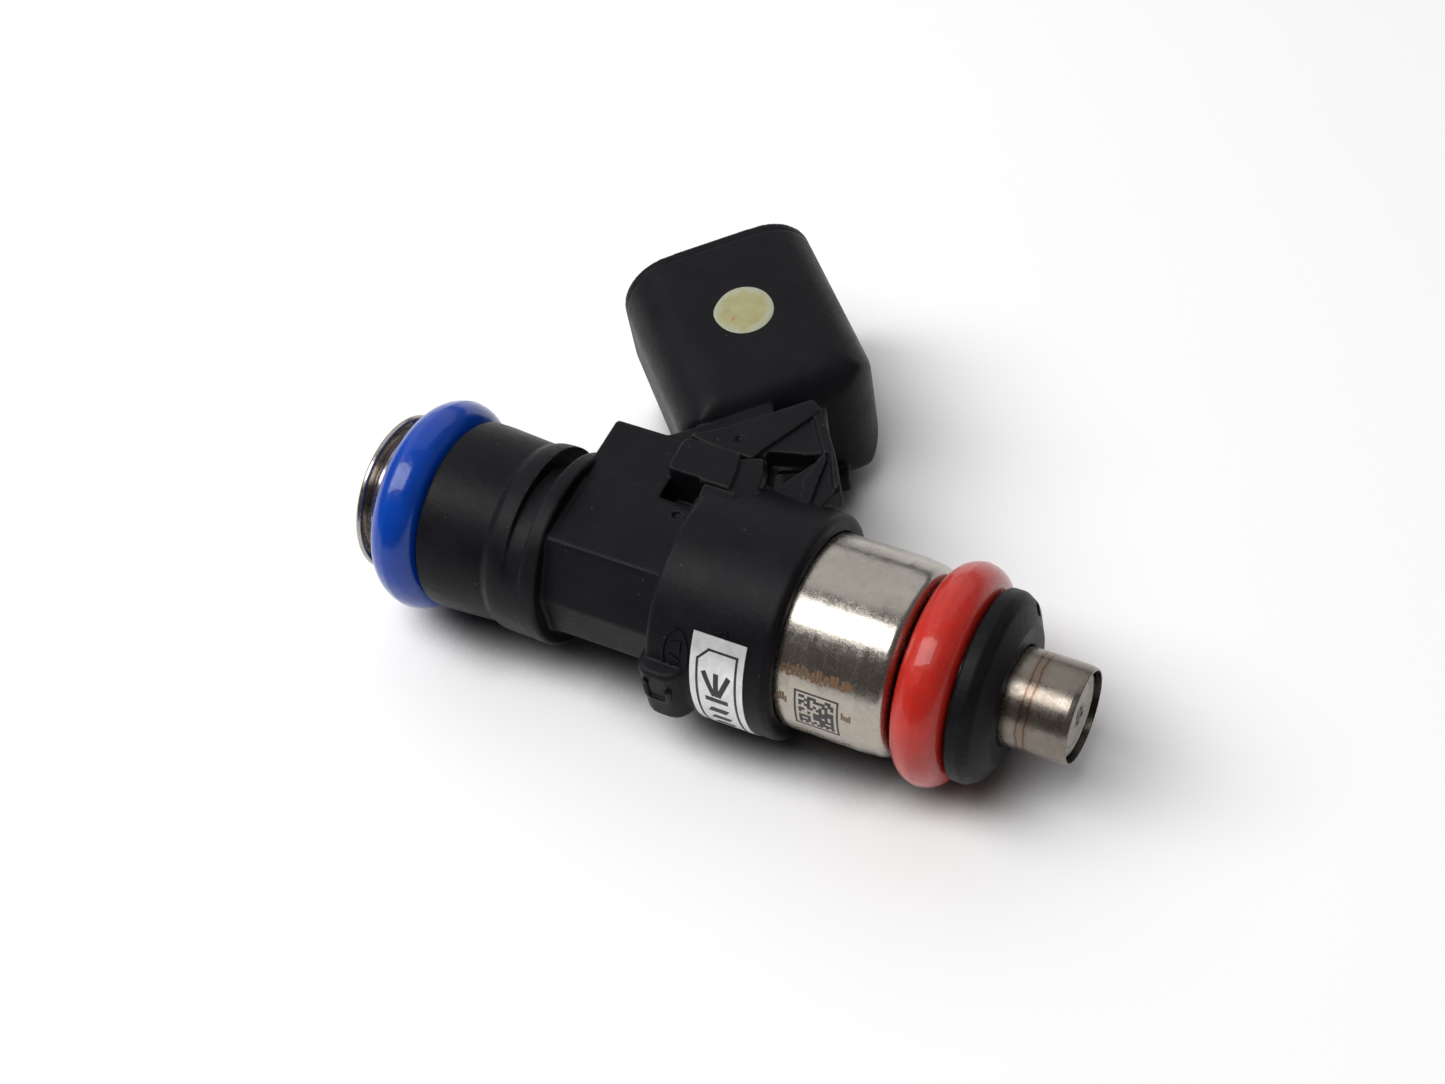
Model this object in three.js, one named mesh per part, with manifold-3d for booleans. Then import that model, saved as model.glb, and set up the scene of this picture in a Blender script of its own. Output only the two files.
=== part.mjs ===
// Port fuel injector with an overmoulded, tilted electrical connector.
// Millimetres. +X runs along the injector towards the nozzle, the connector leans out towards +Y and
// back towards the inlet, and +Z is up with the injector lying on its side.
// The origin is the centre of the spray plate's outer face.
import * as THREE from 'three';
import { mergeVertices } from 'three/addons/utils/BufferGeometryUtils.js';
import Module from 'manifold-3d';

const wasm = await Module();
wasm.setup();

// ---------------------------------------------------------------- driving dimensions
const FINE = 40;                 // facets round a large turned piece
const COARSE = 32;               // facets round a small inner piece

// Stations along the axis
const INLET_X = -48.9;           // open end of the valve tube
const UPPER_RING_X = -45.44;     // centre of the upper O-ring
const HOUSING_TOP_X = -43.6;     // end of the moulded neck, next to the upper O-ring
const COLLAR_X = [-38.4, -37.2]; // moulded collar above the clip groove
const FLANGE_X = [-35.9, -34.5]; // moulded flange below the clip groove
const BODY_X = -25.9;            // step from the flat-sided neck to the round body
const HOUSING_END_X = -17.4;     // lower end of the moulding, on the metal shell
const SHELL_X = [-24.5, -10.1];
const LOWER_RING_X = -8.17;      // centre of the lower O-ring
const RETAINER_X = [-6.3, -4.0];
const TUBE_END_X = -4.8;
const TIP_X = 0.3;               // rim of the nozzle sleeve

// Radii
const TUBE_R = 3.75;
const TUBE_BORE = 3.25;
const INLET_LIP_R = 5.4;
const RING_R = 5.55;             // O-ring centre line
const RING_SECTION = 1.75;       // O-ring section radius
const NECK_R = [6.4, 6.1];
const COLLAR_R = 6.45;
const FLANGE_R = 6.5;
const BODY_R = 7.5;
const SHELL_R = 6.39;
const SHELL_WALL = 0.6;
const RETAINER_R = 6.2;
const NOZZLE_R = 3.15;
const NOZZLE_BORE = 2.8;
const CLEAR = 0.08;              // gap between pieces that touch on the real injector

// Flat-sided neck: half thickness and the places of its edges
const NECK_HALF_Z = 5.4;
const NECK_TOP_Y = 7.5;

// Connector: u runs out along the connector, v across it in the plane of the injector's axis
const CONNECTOR_TILT = Math.PI / 4;
const CONNECTOR_ORIGIN_X = -25.17;
const ROOT_CORE_HALF_Z = 3.9;   // the thicker middle of the root, round the terminals
const SHROUD_U = [9, 23.9];
const SHROUD_V = [1.95, 15.65];
const SHROUD_HALF_Z = 6;
const SHROUD_CORNER = 3.7;
const SHROUD_WALL = 1.3;
const SOCKET_FLOOR_U = 11.6;
const TERMINAL_V = 8.8;
const TERMINAL_HALF_PITCH = 2.5;
const TERMINAL_WIDTH = 1.5;
const TERMINAL_THICK = 0.6;
const TERMINAL_TIP_U = 19.5;

// Valve
const LIFT = 0.1;                // stroke of the needle
const POLE_END_X = -19.54;
const ARMATURE_X = [POLE_END_X + LIFT + 0.04, -13.2];
const ARMATURE_R = 3.1;
const BALL_R = 1.45;
const SEAT_X = [-3.6, -0.34];
const SEAT_CONE_R = [1.55, 0.5];
const SEAT_CONE_X = -2.3;

// ---------------------------------------------------------------- helpers
// Drops normals, merges vertices, removes flat triangles and turns the faces outwards.
function closed(source) {
  const geometry = source.clone();
  geometry.deleteAttribute('normal');
  geometry.deleteAttribute('uv');
  const merged = mergeVertices(geometry, 1e-4);
  const index = merged.index.array;
  const kept = [];
  for (let i = 0; i < index.length; i += 3) {
    const [a, b, c] = [index[i], index[i + 1], index[i + 2]];
    if (a !== b && b !== c && c !== a) kept.push(a, b, c);
  }
  merged.setIndex(kept);
  if (signedVolume(merged) < 0) {
    for (let i = 0; i < kept.length; i += 3) [kept[i + 1], kept[i + 2]] = [kept[i + 2], kept[i + 1]];
    merged.setIndex(kept);
  }
  return merged;
}

function signedVolume(geometry) {
  const place = geometry.attributes.position;
  const index = geometry.index.array;
  const [a, b, c] = [new THREE.Vector3(), new THREE.Vector3(), new THREE.Vector3()];
  let volume = 0;
  for (let i = 0; i < index.length; i += 3) {
    a.fromBufferAttribute(place, index[i]);
    b.fromBufferAttribute(place, index[i + 1]);
    c.fromBufferAttribute(place, index[i + 2]);
    volume += a.dot(b.cross(c)) / 6;
  }
  return volume;
}

function solid(geometry) {
  const clean = closed(geometry);
  const vertProperties = new Float32Array(clean.attributes.position.array);
  const triVerts = new Uint32Array(clean.index.array);
  return new wasm.Manifold(new wasm.Mesh({ numProp: 3, vertProperties, triVerts }));
}

function geometryOf(manifold) {
  const mesh = manifold.getMesh();
  const geometry = new THREE.BufferGeometry();
  geometry.setAttribute('position', new THREE.BufferAttribute(mesh.vertProperties, 3));
  geometry.setIndex(new THREE.BufferAttribute(mesh.triVerts, 1));
  geometry.computeVertexNormals();
  return geometry;
}

// A profile of [x, radius] points turned about the X axis.
function turned(profile, facets = COARSE) {
  const points = profile.map(([x, radius]) => new THREE.Vector2(radius, x));
  const geometry = new THREE.LatheGeometry(points, facets);
  geometry.rotateZ(-Math.PI / 2);
  return closed(geometry);
}

// A plain tube or washer between two stations.
function sleeve([x0, x1], inner, outer, facets = COARSE) {
  return turned([[x0, inner], [x0, outer], [x1, outer], [x1, inner], [x0, inner]], facets);
}

function rod([x0, x1], radius, facets = COARSE) {
  return turned([[x0, 0], [x0, radius], [x1, radius], [x1, 0]], facets);
}

// Points of a circular arc in a profile, centre [x, r], angles in degrees.
function arc([x, r], radius, from, to, steps) {
  const points = [];
  for (let i = 0; i <= steps; i += 1) {
    const angle = THREE.MathUtils.degToRad(from + (to - from) * i / steps);
    points.push([x + radius * Math.cos(angle), r + radius * Math.sin(angle)]);
  }
  return points;
}

function outline(points) {
  return new THREE.Shape(points.map(([x, y]) => new THREE.Vector2(x, y)));
}

function roundedRectangle(width, height, radius) {
  const [w, h] = [width / 2, height / 2];
  const shape = new THREE.Shape();
  shape.moveTo(-w + radius, -h);
  shape.lineTo(w - radius, -h);
  shape.absarc(w - radius, -h + radius, radius, -Math.PI / 2, 0);
  shape.lineTo(w, h - radius);
  shape.absarc(w - radius, h - radius, radius, 0, Math.PI / 2);
  shape.lineTo(-w + radius, h);
  shape.absarc(-w + radius, h - radius, radius, Math.PI / 2, Math.PI);
  shape.lineTo(-w, -h + radius);
  shape.absarc(-w + radius, -h + radius, radius, Math.PI, Math.PI * 1.5);
  return shape;
}

function extrude(shape, depth, curveSegments = 6) {
  return new THREE.ExtrudeGeometry(shape, { depth, bevelEnabled: false, curveSegments });
}

// An outline in the XY plane, extruded from z0 to z1.
function plateZ(points, z0, z1) {
  return extrude(outline(points), z1 - z0).translate(0, 0, z0);
}

function box([x0, x1], [y0, y1], [z0, z1]) {
  const geometry = new THREE.BoxGeometry(x1 - x0, y1 - y0, z1 - z0);
  return geometry.translate((x0 + x1) / 2, (y0 + y1) / 2, (z0 + z1) / 2);
}

// Connector coordinates (u out, v across, z up) to the injector's own.
function fromConnector(u, v) {
  const [s, c] = [Math.sin(CONNECTOR_TILT), Math.cos(CONNECTOR_TILT)];
  return [CONNECTOR_ORIGIN_X - u * s + v * c, u * c + v * s];
}

// Matrix whose X, Y, Z columns are the connector's reversed v, z and u directions.
function connectorMatrix(u, v) {
  const [s, c] = [Math.sin(CONNECTOR_TILT), Math.cos(CONNECTOR_TILT)];
  const [x, y] = fromConnector(u, v);
  const matrix = new THREE.Matrix4();
  matrix.makeBasis(
    new THREE.Vector3(-c, -s, 0),
    new THREE.Vector3(0, 0, 1),
    new THREE.Vector3(-s, c, 0),
  );
  return matrix.setPosition(x, y, 0);
}

const nodes = [];
function add(name, geometry, color, roughness, metalness) {
  const material = new THREE.MeshStandardMaterial({ color, roughness, metalness });
  const mesh = new THREE.Mesh(geometry, material);
  mesh.name = name;
  nodes.push(mesh);
}

const BLACK_PLASTIC = [0x232326, 0.55, 0];
const DARK_PLASTIC = [0x1b1b1e, 0.6, 0];
const STEEL = [0xb4aca0, 0.25, 1];
const MAGNETIC_STEEL = [0x9a9894, 0.35, 1];
const BRASS = [0xb08d4a, 0.3, 1];
const COPPER = [0xb4653a, 0.35, 1];

// ---------------------------------------------------------------- terminals and coil leads
// Stamped blade: a bent strip lying in a plane of constant z.
function bladeOutline(spare) {
  const half = TERMINAL_WIDTH / 2 + spare;
  const foot = [-26.6, 5.3 - spare];
  const knee = [-26.6, 8.4];
  const bend = fromConnector(8, TERMINAL_V);
  const tip = fromConnector(TERMINAL_TIP_U, TERMINAL_V);
  const line = [foot, knee, bend, tip].map(([x, y]) => new THREE.Vector2(x, y));
  const left = [];
  const right = [];
  line.forEach((point, i) => {
    const before = line[Math.max(i - 1, 0)];
    const after = line[Math.min(i + 1, line.length - 1)];
    const along = i === 0 || i === line.length - 1
      ? after.clone().sub(before).normalize()
      : point.clone().sub(before).normalize().add(after.clone().sub(point).normalize()).normalize();
    const last = after.clone().sub(i === line.length - 1 ? before : point).normalize();
    const stretch = half / Math.max(along.dot(last), 0.5);
    const side = new THREE.Vector2(-along.y, along.x).multiplyScalar(stretch);
    left.push([point.x + side.x, point.y + side.y]);
    right.unshift([point.x - side.x, point.y - side.y]);
  });
  return [...left, ...right];
}

function blade(side, spare = 0) {
  const middle = side * TERMINAL_HALF_PITCH;
  const half = TERMINAL_THICK / 2 + spare;
  return plateZ(bladeOutline(spare), middle - half, middle + half);
}

function lead(side, spare = 0) {
  const middle = side * TERMINAL_HALF_PITCH;
  const half = 0.2 + spare;
  return box([-27.1 - spare, -23.7 + spare], [4.6 - spare, 5.0 + spare], [middle - half, middle + half]);
}

// ---------------------------------------------------------------- overmoulded housing
function housingTurned() {
  return turned([
    [HOUSING_TOP_X, 0],
    [HOUSING_TOP_X, NECK_R[0] - 0.35],
    [HOUSING_TOP_X + 0.35, NECK_R[0]],
    [COLLAR_X[0] - 0.5, NECK_R[1]],
    [COLLAR_X[0], COLLAR_R],
    [FLANGE_X[0] + 0.2, COLLAR_R],
    [FLANGE_X[0] + 0.3, FLANGE_R],
    [FLANGE_X[1] - 0.3, FLANGE_R],
    [FLANGE_X[1], FLANGE_R - 0.3],
    [FLANGE_X[1], 4.2],
    [BODY_X, 4.2],
    [BODY_X, BODY_R - 0.3],
    [BODY_X + 0.3, BODY_R],
    [HOUSING_END_X - 1.8, BODY_R],
    ...arc([HOUSING_END_X - 1.8, BODY_R - 1.05], 1.05, 90, 10, 4).slice(1),
    [HOUSING_END_X, SHELL_R + 0.1],
    [HOUSING_END_X, 0],
  ], FINE);
}

// Flat-sided neck with the root of the connector on its +Y side.
function neckPrism() {
  const section = [
    [NECK_TOP_Y, NECK_HALF_Z - 0.3], [2.3, NECK_HALF_Z], [-3.1, NECK_HALF_Z], [-5.3, 1.6],
    [-5.3, -1.6], [-3.1, -NECK_HALF_Z], [2.3, -NECK_HALF_Z], [NECK_TOP_Y, -NECK_HALF_Z + 0.3],
  ];
  const geometry = extrude(outline(section), BODY_X + 1 - FLANGE_X[1] + 0.5);
  geometry.rotateY(Math.PI / 2);
  geometry.rotateX(Math.PI / 2);
  return geometry.translate(FLANGE_X[1] - 0.5, 0, 0);
}

// Core between the body and the back of the shroud, round the terminals.
function rootCore() {
  const points = [
    [-31.5, 2], [-31.5, NECK_TOP_Y], fromConnector(SHROUD_U[0] + 0.6, 2.2),
    fromConnector(SHROUD_U[0] + 0.6, 10.6), [-23.3, 12.7], [-23.3, 11], [-24.3, 9], [-22.6, 5], [-22, 2],
  ];
  return plateZ(points, -ROOT_CORE_HALF_Z, ROOT_CORE_HALF_Z);
}

// Side plates of the root: the +Z one ends in a forked foot, the -Z one stops under the shroud.
function rootPlates() {
  const outer = NECK_HALF_Z - 0.3;
  const inner = ROOT_CORE_HALF_Z - 0.3;
  const shared = [[-31.5, 2], [-31.5, NECK_TOP_Y], fromConnector(SHROUD_U[0] + 0.6, 2.2)];
  const near = [
    fromConnector(SHROUD_U[0] + 0.6, 11.4), [-22.4, 13.2], [-20.5, 9.6], [-18.8, 7.1], [-19.4, 4.6], [-22, 2],
  ];
  const far = [
    fromConnector(SHROUD_U[0] + 0.6, 12.6), [-22.2, 14.2], [-23.9, 13.1], [-24.3, 9], [-22.6, 5], [-22, 2],
  ];
  return [plateZ([...shared, ...near], inner, outer), plateZ([...shared, ...far], -outer, -inner)];
}

function shroud() {
  const depth = SHROUD_U[1] - SHROUD_U[0];
  const width = SHROUD_V[1] - SHROUD_V[0];
  const middle = (SHROUD_V[0] + SHROUD_V[1]) / 2;
  const place = connectorMatrix(SHROUD_U[0], middle);
  const across = extrude(roundedRectangle(width, SHROUD_HALF_Z * 2, SHROUD_CORNER), depth);
  const side = extrude(roundedRectangle(depth + 6, SHROUD_HALF_Z * 2, 2), width);
  side.rotateY(Math.PI / 2);
  side.translate(-width / 2, 0, depth / 2 + 3);
  const plan = extrude(roundedRectangle(width, depth + 6, 2.4), SHROUD_HALF_Z * 2);
  plan.rotateX(Math.PI / 2);
  plan.translate(0, SHROUD_HALF_Z, depth / 2 + 3);
  const block = solid(across).intersect(solid(side)).intersect(solid(plan));
  return block.transform(place.toArray());
}

function socket() {
  const width = SHROUD_V[1] - SHROUD_V[0] - SHROUD_WALL * 2;
  const height = SHROUD_HALF_Z * 2 - SHROUD_WALL * 2;
  const middle = (SHROUD_V[0] + SHROUD_V[1]) / 2;
  const shape = roundedRectangle(width, height, SHROUD_CORNER - SHROUD_WALL);
  const geometry = extrude(shape, SHROUD_U[1] - SOCKET_FLOOR_U + 1);
  return geometry.applyMatrix4(connectorMatrix(SOCKET_FLOOR_U, middle));
}

// Clip groove: deep on the connector side and running out to nothing on the far side.
function clipGroove() {
  const stretch = [COLLAR_X[1], FLANGE_X[0]];
  const outer = solid(rod(stretch, 9, FINE));
  const floor = solid(rod([stretch[0] - 1, stretch[1] + 1], 6.35, FINE).translate(0, -1.15, 0));
  return outer.subtract(floor);
}

// Orientation lug opposite the connector.
function lug() {
  const points = [[-26, -4.5], [-26, -7.6], [-25.5, -8.1], [-23.6, -8.1], [-23, -7.4], [-23, -4.5]];
  return plateZ(points, -2.4, 2.4);
}

function latchWindow(side) {
  const z = [side * 3.4, side * 7].sort((a, b) => a - b);
  return box([-29.3, -26.9], [2.6, 4.3], z);
}

// Raised bar above the window, on both flat sides of the root.
function latchBar() {
  return box([-29.4, -25.3], [4.3, 7], [-6.1, 6.1]);
}

function gussetPocket(side) {
  const z = [side * 2.2, side * 7].sort((a, b) => a - b);
  const points = [[-24.4, 8.3], [-20.9, 9.1], [-22.3, 5.5], [-23.9, 6.1]];
  return plateZ(points, z[0], z[1]);
}

function housing() {
  let body = solid(housingTurned());
  body = body.subtract(clipGroove());
  body = body.add(solid(neckPrism()));
  body = body.add(solid(rootCore()));
  for (const rootPlate of rootPlates()) body = body.add(solid(rootPlate));
  body = body.add(shroud());
  body = body.add(solid(lug()));
  body = body.add(solid(latchBar()));
  body = body.subtract(solid(socket()));
  body = body.subtract(solid(rod([INLET_X, 0], TUBE_R + CLEAR, FINE)));
  body = body.subtract(solid(rod([SHELL_X[0] - CLEAR, 0], SHELL_R + CLEAR, FINE)));
  for (const side of [-1, 1]) {
    body = body.subtract(solid(latchWindow(side)));
    body = body.subtract(solid(gussetPocket(side)));
    body = body.subtract(solid(blade(side, CLEAR)));
    body = body.subtract(solid(lead(side, CLEAR)));
  }
  return geometryOf(body);
}

// ---------------------------------------------------------------- metal tube and shell
function valveTube() {
  const lip = 0.45;
  return turned([
    [INLET_X, TUBE_BORE + 0.35],
    [INLET_X, INLET_LIP_R - 0.15],
    [INLET_X + 0.15, INLET_LIP_R],
    [INLET_X + lip, INLET_LIP_R],
    [INLET_X + lip, TUBE_R + 0.5],
    [INLET_X + lip + 0.5, TUBE_R],
    [TUBE_END_X, TUBE_R],
    [TUBE_END_X, TUBE_BORE],
    [INLET_X + 0.8, TUBE_BORE],
    [INLET_X, TUBE_BORE + 0.35],
  ], FINE);
}

function magnetShell() {
  const shoulder = 1.2;
  const [start, end] = SHELL_X;
  return turned([
    [start, SHELL_R - SHELL_WALL],
    [start, SHELL_R],
    ...arc([end - shoulder, SHELL_R - shoulder], shoulder, 90, 0, 5),
    [end, TUBE_R + CLEAR],
    [end - SHELL_WALL, TUBE_R + CLEAR],
    ...arc([end - shoulder, SHELL_R - shoulder], shoulder - SHELL_WALL, 0, 90, 3),
    [start, SHELL_R - SHELL_WALL],
  ], FINE);
}

function nozzleSleeve() {
  return turned([
    [-12.9, NOZZLE_BORE],
    [-12.9, NOZZLE_R],
    [TIP_X - 0.25, NOZZLE_R],
    [TIP_X, NOZZLE_R - 0.2],
    [TIP_X, NOZZLE_BORE],
    [-12.9, NOZZLE_BORE],
  ], FINE);
}

// ---------------------------------------------------------------- seals and retainers
function oRing(x) {
  const section = arc([x, RING_R], RING_SECTION, 0, 360, 12);
  section[section.length - 1] = section[0];
  return turned(section, FINE);
}

function lowerRetainer() {
  const [start, end] = RETAINER_X;
  return turned([
    [start, TUBE_R + CLEAR],
    [start, RETAINER_R],
    [end - 1.5, RETAINER_R],
    [end - 0.95, RETAINER_R - 0.2],
    [end - 0.4, RETAINER_R - 0.85],
    [end, RETAINER_R - 1.75],
    [end, NOZZLE_R + CLEAR],
    [TUBE_END_X + CLEAR, NOZZLE_R + CLEAR],
    [TUBE_END_X + CLEAR, TUBE_R + CLEAR],
    [start, TUBE_R + CLEAR],
  ], FINE);
}

// ---------------------------------------------------------------- coil
function coilBobbin() {
  const [start, end] = [-23.6, -11.0];
  const [hub, flange, thick] = [4.3, 5.65, 0.6];
  return turned([
    [start, TUBE_R + CLEAR],
    [start, flange],
    [start + thick, flange],
    [start + thick, hub],
    [end - thick, hub],
    [end - thick, flange],
    [end, flange],
    [end, TUBE_R + CLEAR],
    [start, TUBE_R + CLEAR],
  ]);
}

function fluxWasher() {
  const washer = solid(sleeve([-24.4, -23.68], TUBE_R + CLEAR, SHELL_R - SHELL_WALL - CLEAR, FINE));
  const notch = solid(box([-25, -23], [4.2, 7], [-3.2, 3.2]));
  return geometryOf(washer.subtract(notch));
}

// ---------------------------------------------------------------- fuel filter
function filterCage() {
  const [start, end] = [-43.9, -34.4];
  let cage = solid(sleeve([start, start + 1.3], 2.1, 2.6));
  cage = cage.add(solid(rod([end - 0.7, end], 2.4)));
  for (let i = 0; i < 4; i += 1) {
    const rib = box([start + 0.2, end - 0.2], [2.12, 2.5], [-0.35, 0.35]);
    cage = cage.add(solid(rib.rotateX(i * Math.PI / 2)));
  }
  return geometryOf(cage);
}

function filterScreen() {
  const [start, end] = [-43.8, -35.2];
  return turned([
    [start, 1.9], [start, 2.02], [end, 2.02], [end, 0], [end - 0.12, 0], [end - 0.12, 1.9], [start, 1.9],
  ]);
}

// ---------------------------------------------------------------- valve
class Helix extends THREE.Curve {
  constructor(start, end, radius, turns) {
    super();
    Object.assign(this, { start, end, radius, turns });
  }

  getPoint(t, target = new THREE.Vector3()) {
    const angle = t * this.turns * Math.PI * 2;
    const x = this.start + (this.end - this.start) * t;
    return target.set(x, this.radius * Math.cos(angle), this.radius * Math.sin(angle));
  }
}

function returnSpring() {
  const wire = 0.15;
  const turns = 9;
  const path = new Helix(-27.0, -18.55, 1.2, turns);
  const section = new THREE.Shape();
  section.absarc(0, 0, wire, 0, Math.PI * 2);
  const geometry = new THREE.ExtrudeGeometry(section, {
    steps: turns * 12,
    extrudePath: path,
    curveSegments: 3,
    bevelEnabled: false,
  });
  return closed(geometry);
}

function armature() {
  const [start, end] = ARMATURE_X;
  const bore = 1.25;
  return turned([
    [start, 1.55],
    [start, ARMATURE_R],
    [end, ARMATURE_R],
    [end, bore],
    [start + 1.2, bore],
    [start + 1.2, 1.55],
    [start, 1.55],
  ]);
}

const CONE_OFFSET = SEAT_CONE_X + SEAT_CONE_R[0];
const BALL_X = CONE_OFFSET - (BALL_R + 0.03) * Math.SQRT2;

function needleTube() {
  const bore = 0.75;
  const end = BALL_X - Math.sqrt(BALL_R ** 2 - bore ** 2) - 0.05;
  return sleeve([ARMATURE_X[0] + 1.25, end], bore, 1.15, 24);
}

function valveSeat() {
  const [start, end] = SEAT_X;
  const [guide, orifice] = SEAT_CONE_R;
  return turned([
    [start, guide],
    [start, NOZZLE_BORE - CLEAR],
    [end, NOZZLE_BORE - CLEAR],
    [end, orifice],
    [CONE_OFFSET - orifice, orifice],
    [SEAT_CONE_X, guide],
    [start, guide],
  ]);
}

function sprayPlate() {
  const plateR = 2.65;
  const holeR = 0.14;
  const holeCircle = 0.5;
  let plate = solid(rod([SEAT_X[1] + 0.06, 0], plateR, FINE));
  for (let i = 0; i < 4; i += 1) {
    const angle = Math.PI / 4 + i * Math.PI / 2;
    const hole = rod([-1, 1], holeR, 8);
    hole.translate(0, holeCircle * Math.cos(angle), holeCircle * Math.sin(angle));
    plate = plate.subtract(solid(hole));
  }
  return geometryOf(plate);
}

// ---------------------------------------------------------------- label
function label() {
  const [start, end] = [-22.6, -18.95];
  const half = THREE.MathUtils.degToRad(41);
  const inner = BODY_R + 0.02;
  const outer = BODY_R + 0.1;
  const shape = new THREE.Shape();
  shape.absarc(0, 0, outer, Math.PI - half, Math.PI + half);
  shape.absarc(0, 0, inner, Math.PI + half, Math.PI - half, true);
  const geometry = extrude(shape, end - start, 16);
  geometry.rotateY(Math.PI / 2);
  geometry.rotateX(Math.PI / 2);
  return closed(geometry.translate(start, 0, 0));
}

// ---------------------------------------------------------------- assembly
add('overmold_housing', housing(), ...BLACK_PLASTIC);
add('valve_tube', valveTube(), ...STEEL);
add('magnet_shell', magnetShell(), ...STEEL);
add('nozzle_sleeve', nozzleSleeve(), ...STEEL);
add('upper_o_ring', oRing(UPPER_RING_X), 0x16429a, 0.35, 0);
add('lower_o_ring', oRing(LOWER_RING_X), 0xb8382a, 0.35, 0);
add('lower_retainer', lowerRetainer(), ...DARK_PLASTIC);
add('coil_bobbin', coilBobbin(), 0x3a3a34, 0.6, 0);
add('coil_winding', sleeve([-22.9, -11.7], 4.38, 5.4), ...COPPER);
add('flux_washer', fluxWasher(), ...MAGNETIC_STEEL);
add('pole_core', sleeve([-30.5, POLE_END_X], 1.6, TUBE_BORE - CLEAR), ...MAGNETIC_STEEL);
add('adjusting_sleeve', sleeve([-32.5, -27.3], 0.9, 1.5, 24), ...BRASS);
add('return_spring', returnSpring(), ...STEEL);
add('armature', armature(), ...MAGNETIC_STEEL);
add('needle_tube', needleTube(), ...STEEL);
add('valve_ball', closed(new THREE.SphereGeometry(BALL_R, 24, 16).translate(BALL_X, 0, 0)), ...STEEL);
add('valve_seat', valveSeat(), ...STEEL);
add('spray_plate', sprayPlate(), ...STEEL);
add('filter_collar', sleeve([-44.1, -42.5], 2.7, TUBE_BORE - CLEAR), ...BRASS);
add('filter_cage', filterCage(), 0x6b6f72, 0.6, 0);
add('filter_screen', filterScreen(), 0xc9c3ae, 0.7, 0);
add('terminal_left', closed(blade(1)), ...BRASS);
add('terminal_right', closed(blade(-1)), ...BRASS);
add('coil_lead_left', closed(lead(1)), ...COPPER);
add('coil_lead_right', closed(lead(-1)), ...COPPER);
add('label', label(), 0xc8c8c6, 0.4, 0);

const injector = new THREE.Group();
injector.add(...nodes);

export default injector;
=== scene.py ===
import math
import random

import bmesh
import bpy
import numpy as np
from mathutils import Matrix, Vector

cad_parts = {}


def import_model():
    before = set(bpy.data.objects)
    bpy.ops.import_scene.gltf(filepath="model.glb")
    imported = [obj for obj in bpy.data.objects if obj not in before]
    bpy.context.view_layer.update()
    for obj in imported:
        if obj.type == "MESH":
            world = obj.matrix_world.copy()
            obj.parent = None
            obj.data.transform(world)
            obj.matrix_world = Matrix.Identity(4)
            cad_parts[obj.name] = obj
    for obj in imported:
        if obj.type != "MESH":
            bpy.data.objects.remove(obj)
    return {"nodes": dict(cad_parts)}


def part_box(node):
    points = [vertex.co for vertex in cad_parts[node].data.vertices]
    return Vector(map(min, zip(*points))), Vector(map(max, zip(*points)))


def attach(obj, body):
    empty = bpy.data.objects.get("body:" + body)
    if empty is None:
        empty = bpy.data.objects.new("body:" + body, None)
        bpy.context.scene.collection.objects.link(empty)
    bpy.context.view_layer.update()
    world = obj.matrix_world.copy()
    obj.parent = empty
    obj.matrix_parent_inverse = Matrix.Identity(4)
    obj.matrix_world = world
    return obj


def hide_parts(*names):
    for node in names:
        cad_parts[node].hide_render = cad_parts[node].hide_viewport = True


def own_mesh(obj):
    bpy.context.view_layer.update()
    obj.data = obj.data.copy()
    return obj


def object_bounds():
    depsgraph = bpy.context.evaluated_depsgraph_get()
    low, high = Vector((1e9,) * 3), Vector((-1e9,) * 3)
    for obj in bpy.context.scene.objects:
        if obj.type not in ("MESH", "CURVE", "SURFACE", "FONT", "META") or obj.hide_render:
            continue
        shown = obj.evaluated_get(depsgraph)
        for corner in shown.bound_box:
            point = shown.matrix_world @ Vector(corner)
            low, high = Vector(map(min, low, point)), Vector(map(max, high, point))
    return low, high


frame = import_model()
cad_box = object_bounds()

# Lengths in this script are millimetres; meshes are scaled to metres as they are made.
# Axis: +X runs along the injector towards the nozzle, +Y towards the connector.
MM = 0.001
TURNED = 160  # segments of a turned piece
FINE_TURNED = 224


def box_mm(node):
    low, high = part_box(node)
    return [c / MM for c in low], [c / MM for c in high]


(INLET_X, _, _), (TUBE_END_X, _, _) = box_mm("valve_tube")
(HOUSING_TOP_X, _, _), (HOUSING_END_X, _, _) = box_mm("overmold_housing")
SHELL_LOW, SHELL_HIGH = box_mm("magnet_shell")
SHELL_END_X = SHELL_HIGH[0]
SHELL_R = SHELL_HIGH[1]
NOZZLE_R = box_mm("nozzle_sleeve")[1][2]
BODY_X = -25.9
BODY_R = 7.5
COLLAR_X = (-38.4, -37.2)
FLANGE_X = (-35.9, -34.5)
GROOVE_X = (COLLAR_X[1] + 0.3, FLANGE_X[0] + 0.35)
GROOVE_FLOOR_R = 5.745
GROOVE_SHIFT_Y = -0.8  # the groove's floor is off centre: deep at +Y, running out at -Y
COLLAR_R = 6.45
FLANGE_R = 6.5
NECK_R = (6.4, 6.1)
TUBE_R = 3.75
TUBE_BORE = 3.25
CLEAR = 0.03  # round a bore
LUG_END_Y = -8.25
LUG_HALF_Z = 2.4
WELD_X = (-2.85, -2.35)  # laser weld rings on the nozzle sleeve
SKIN_VOXEL = 0.1  # of the housing's one moulded skin
SKIN_TRIANGLES = 190000

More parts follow.
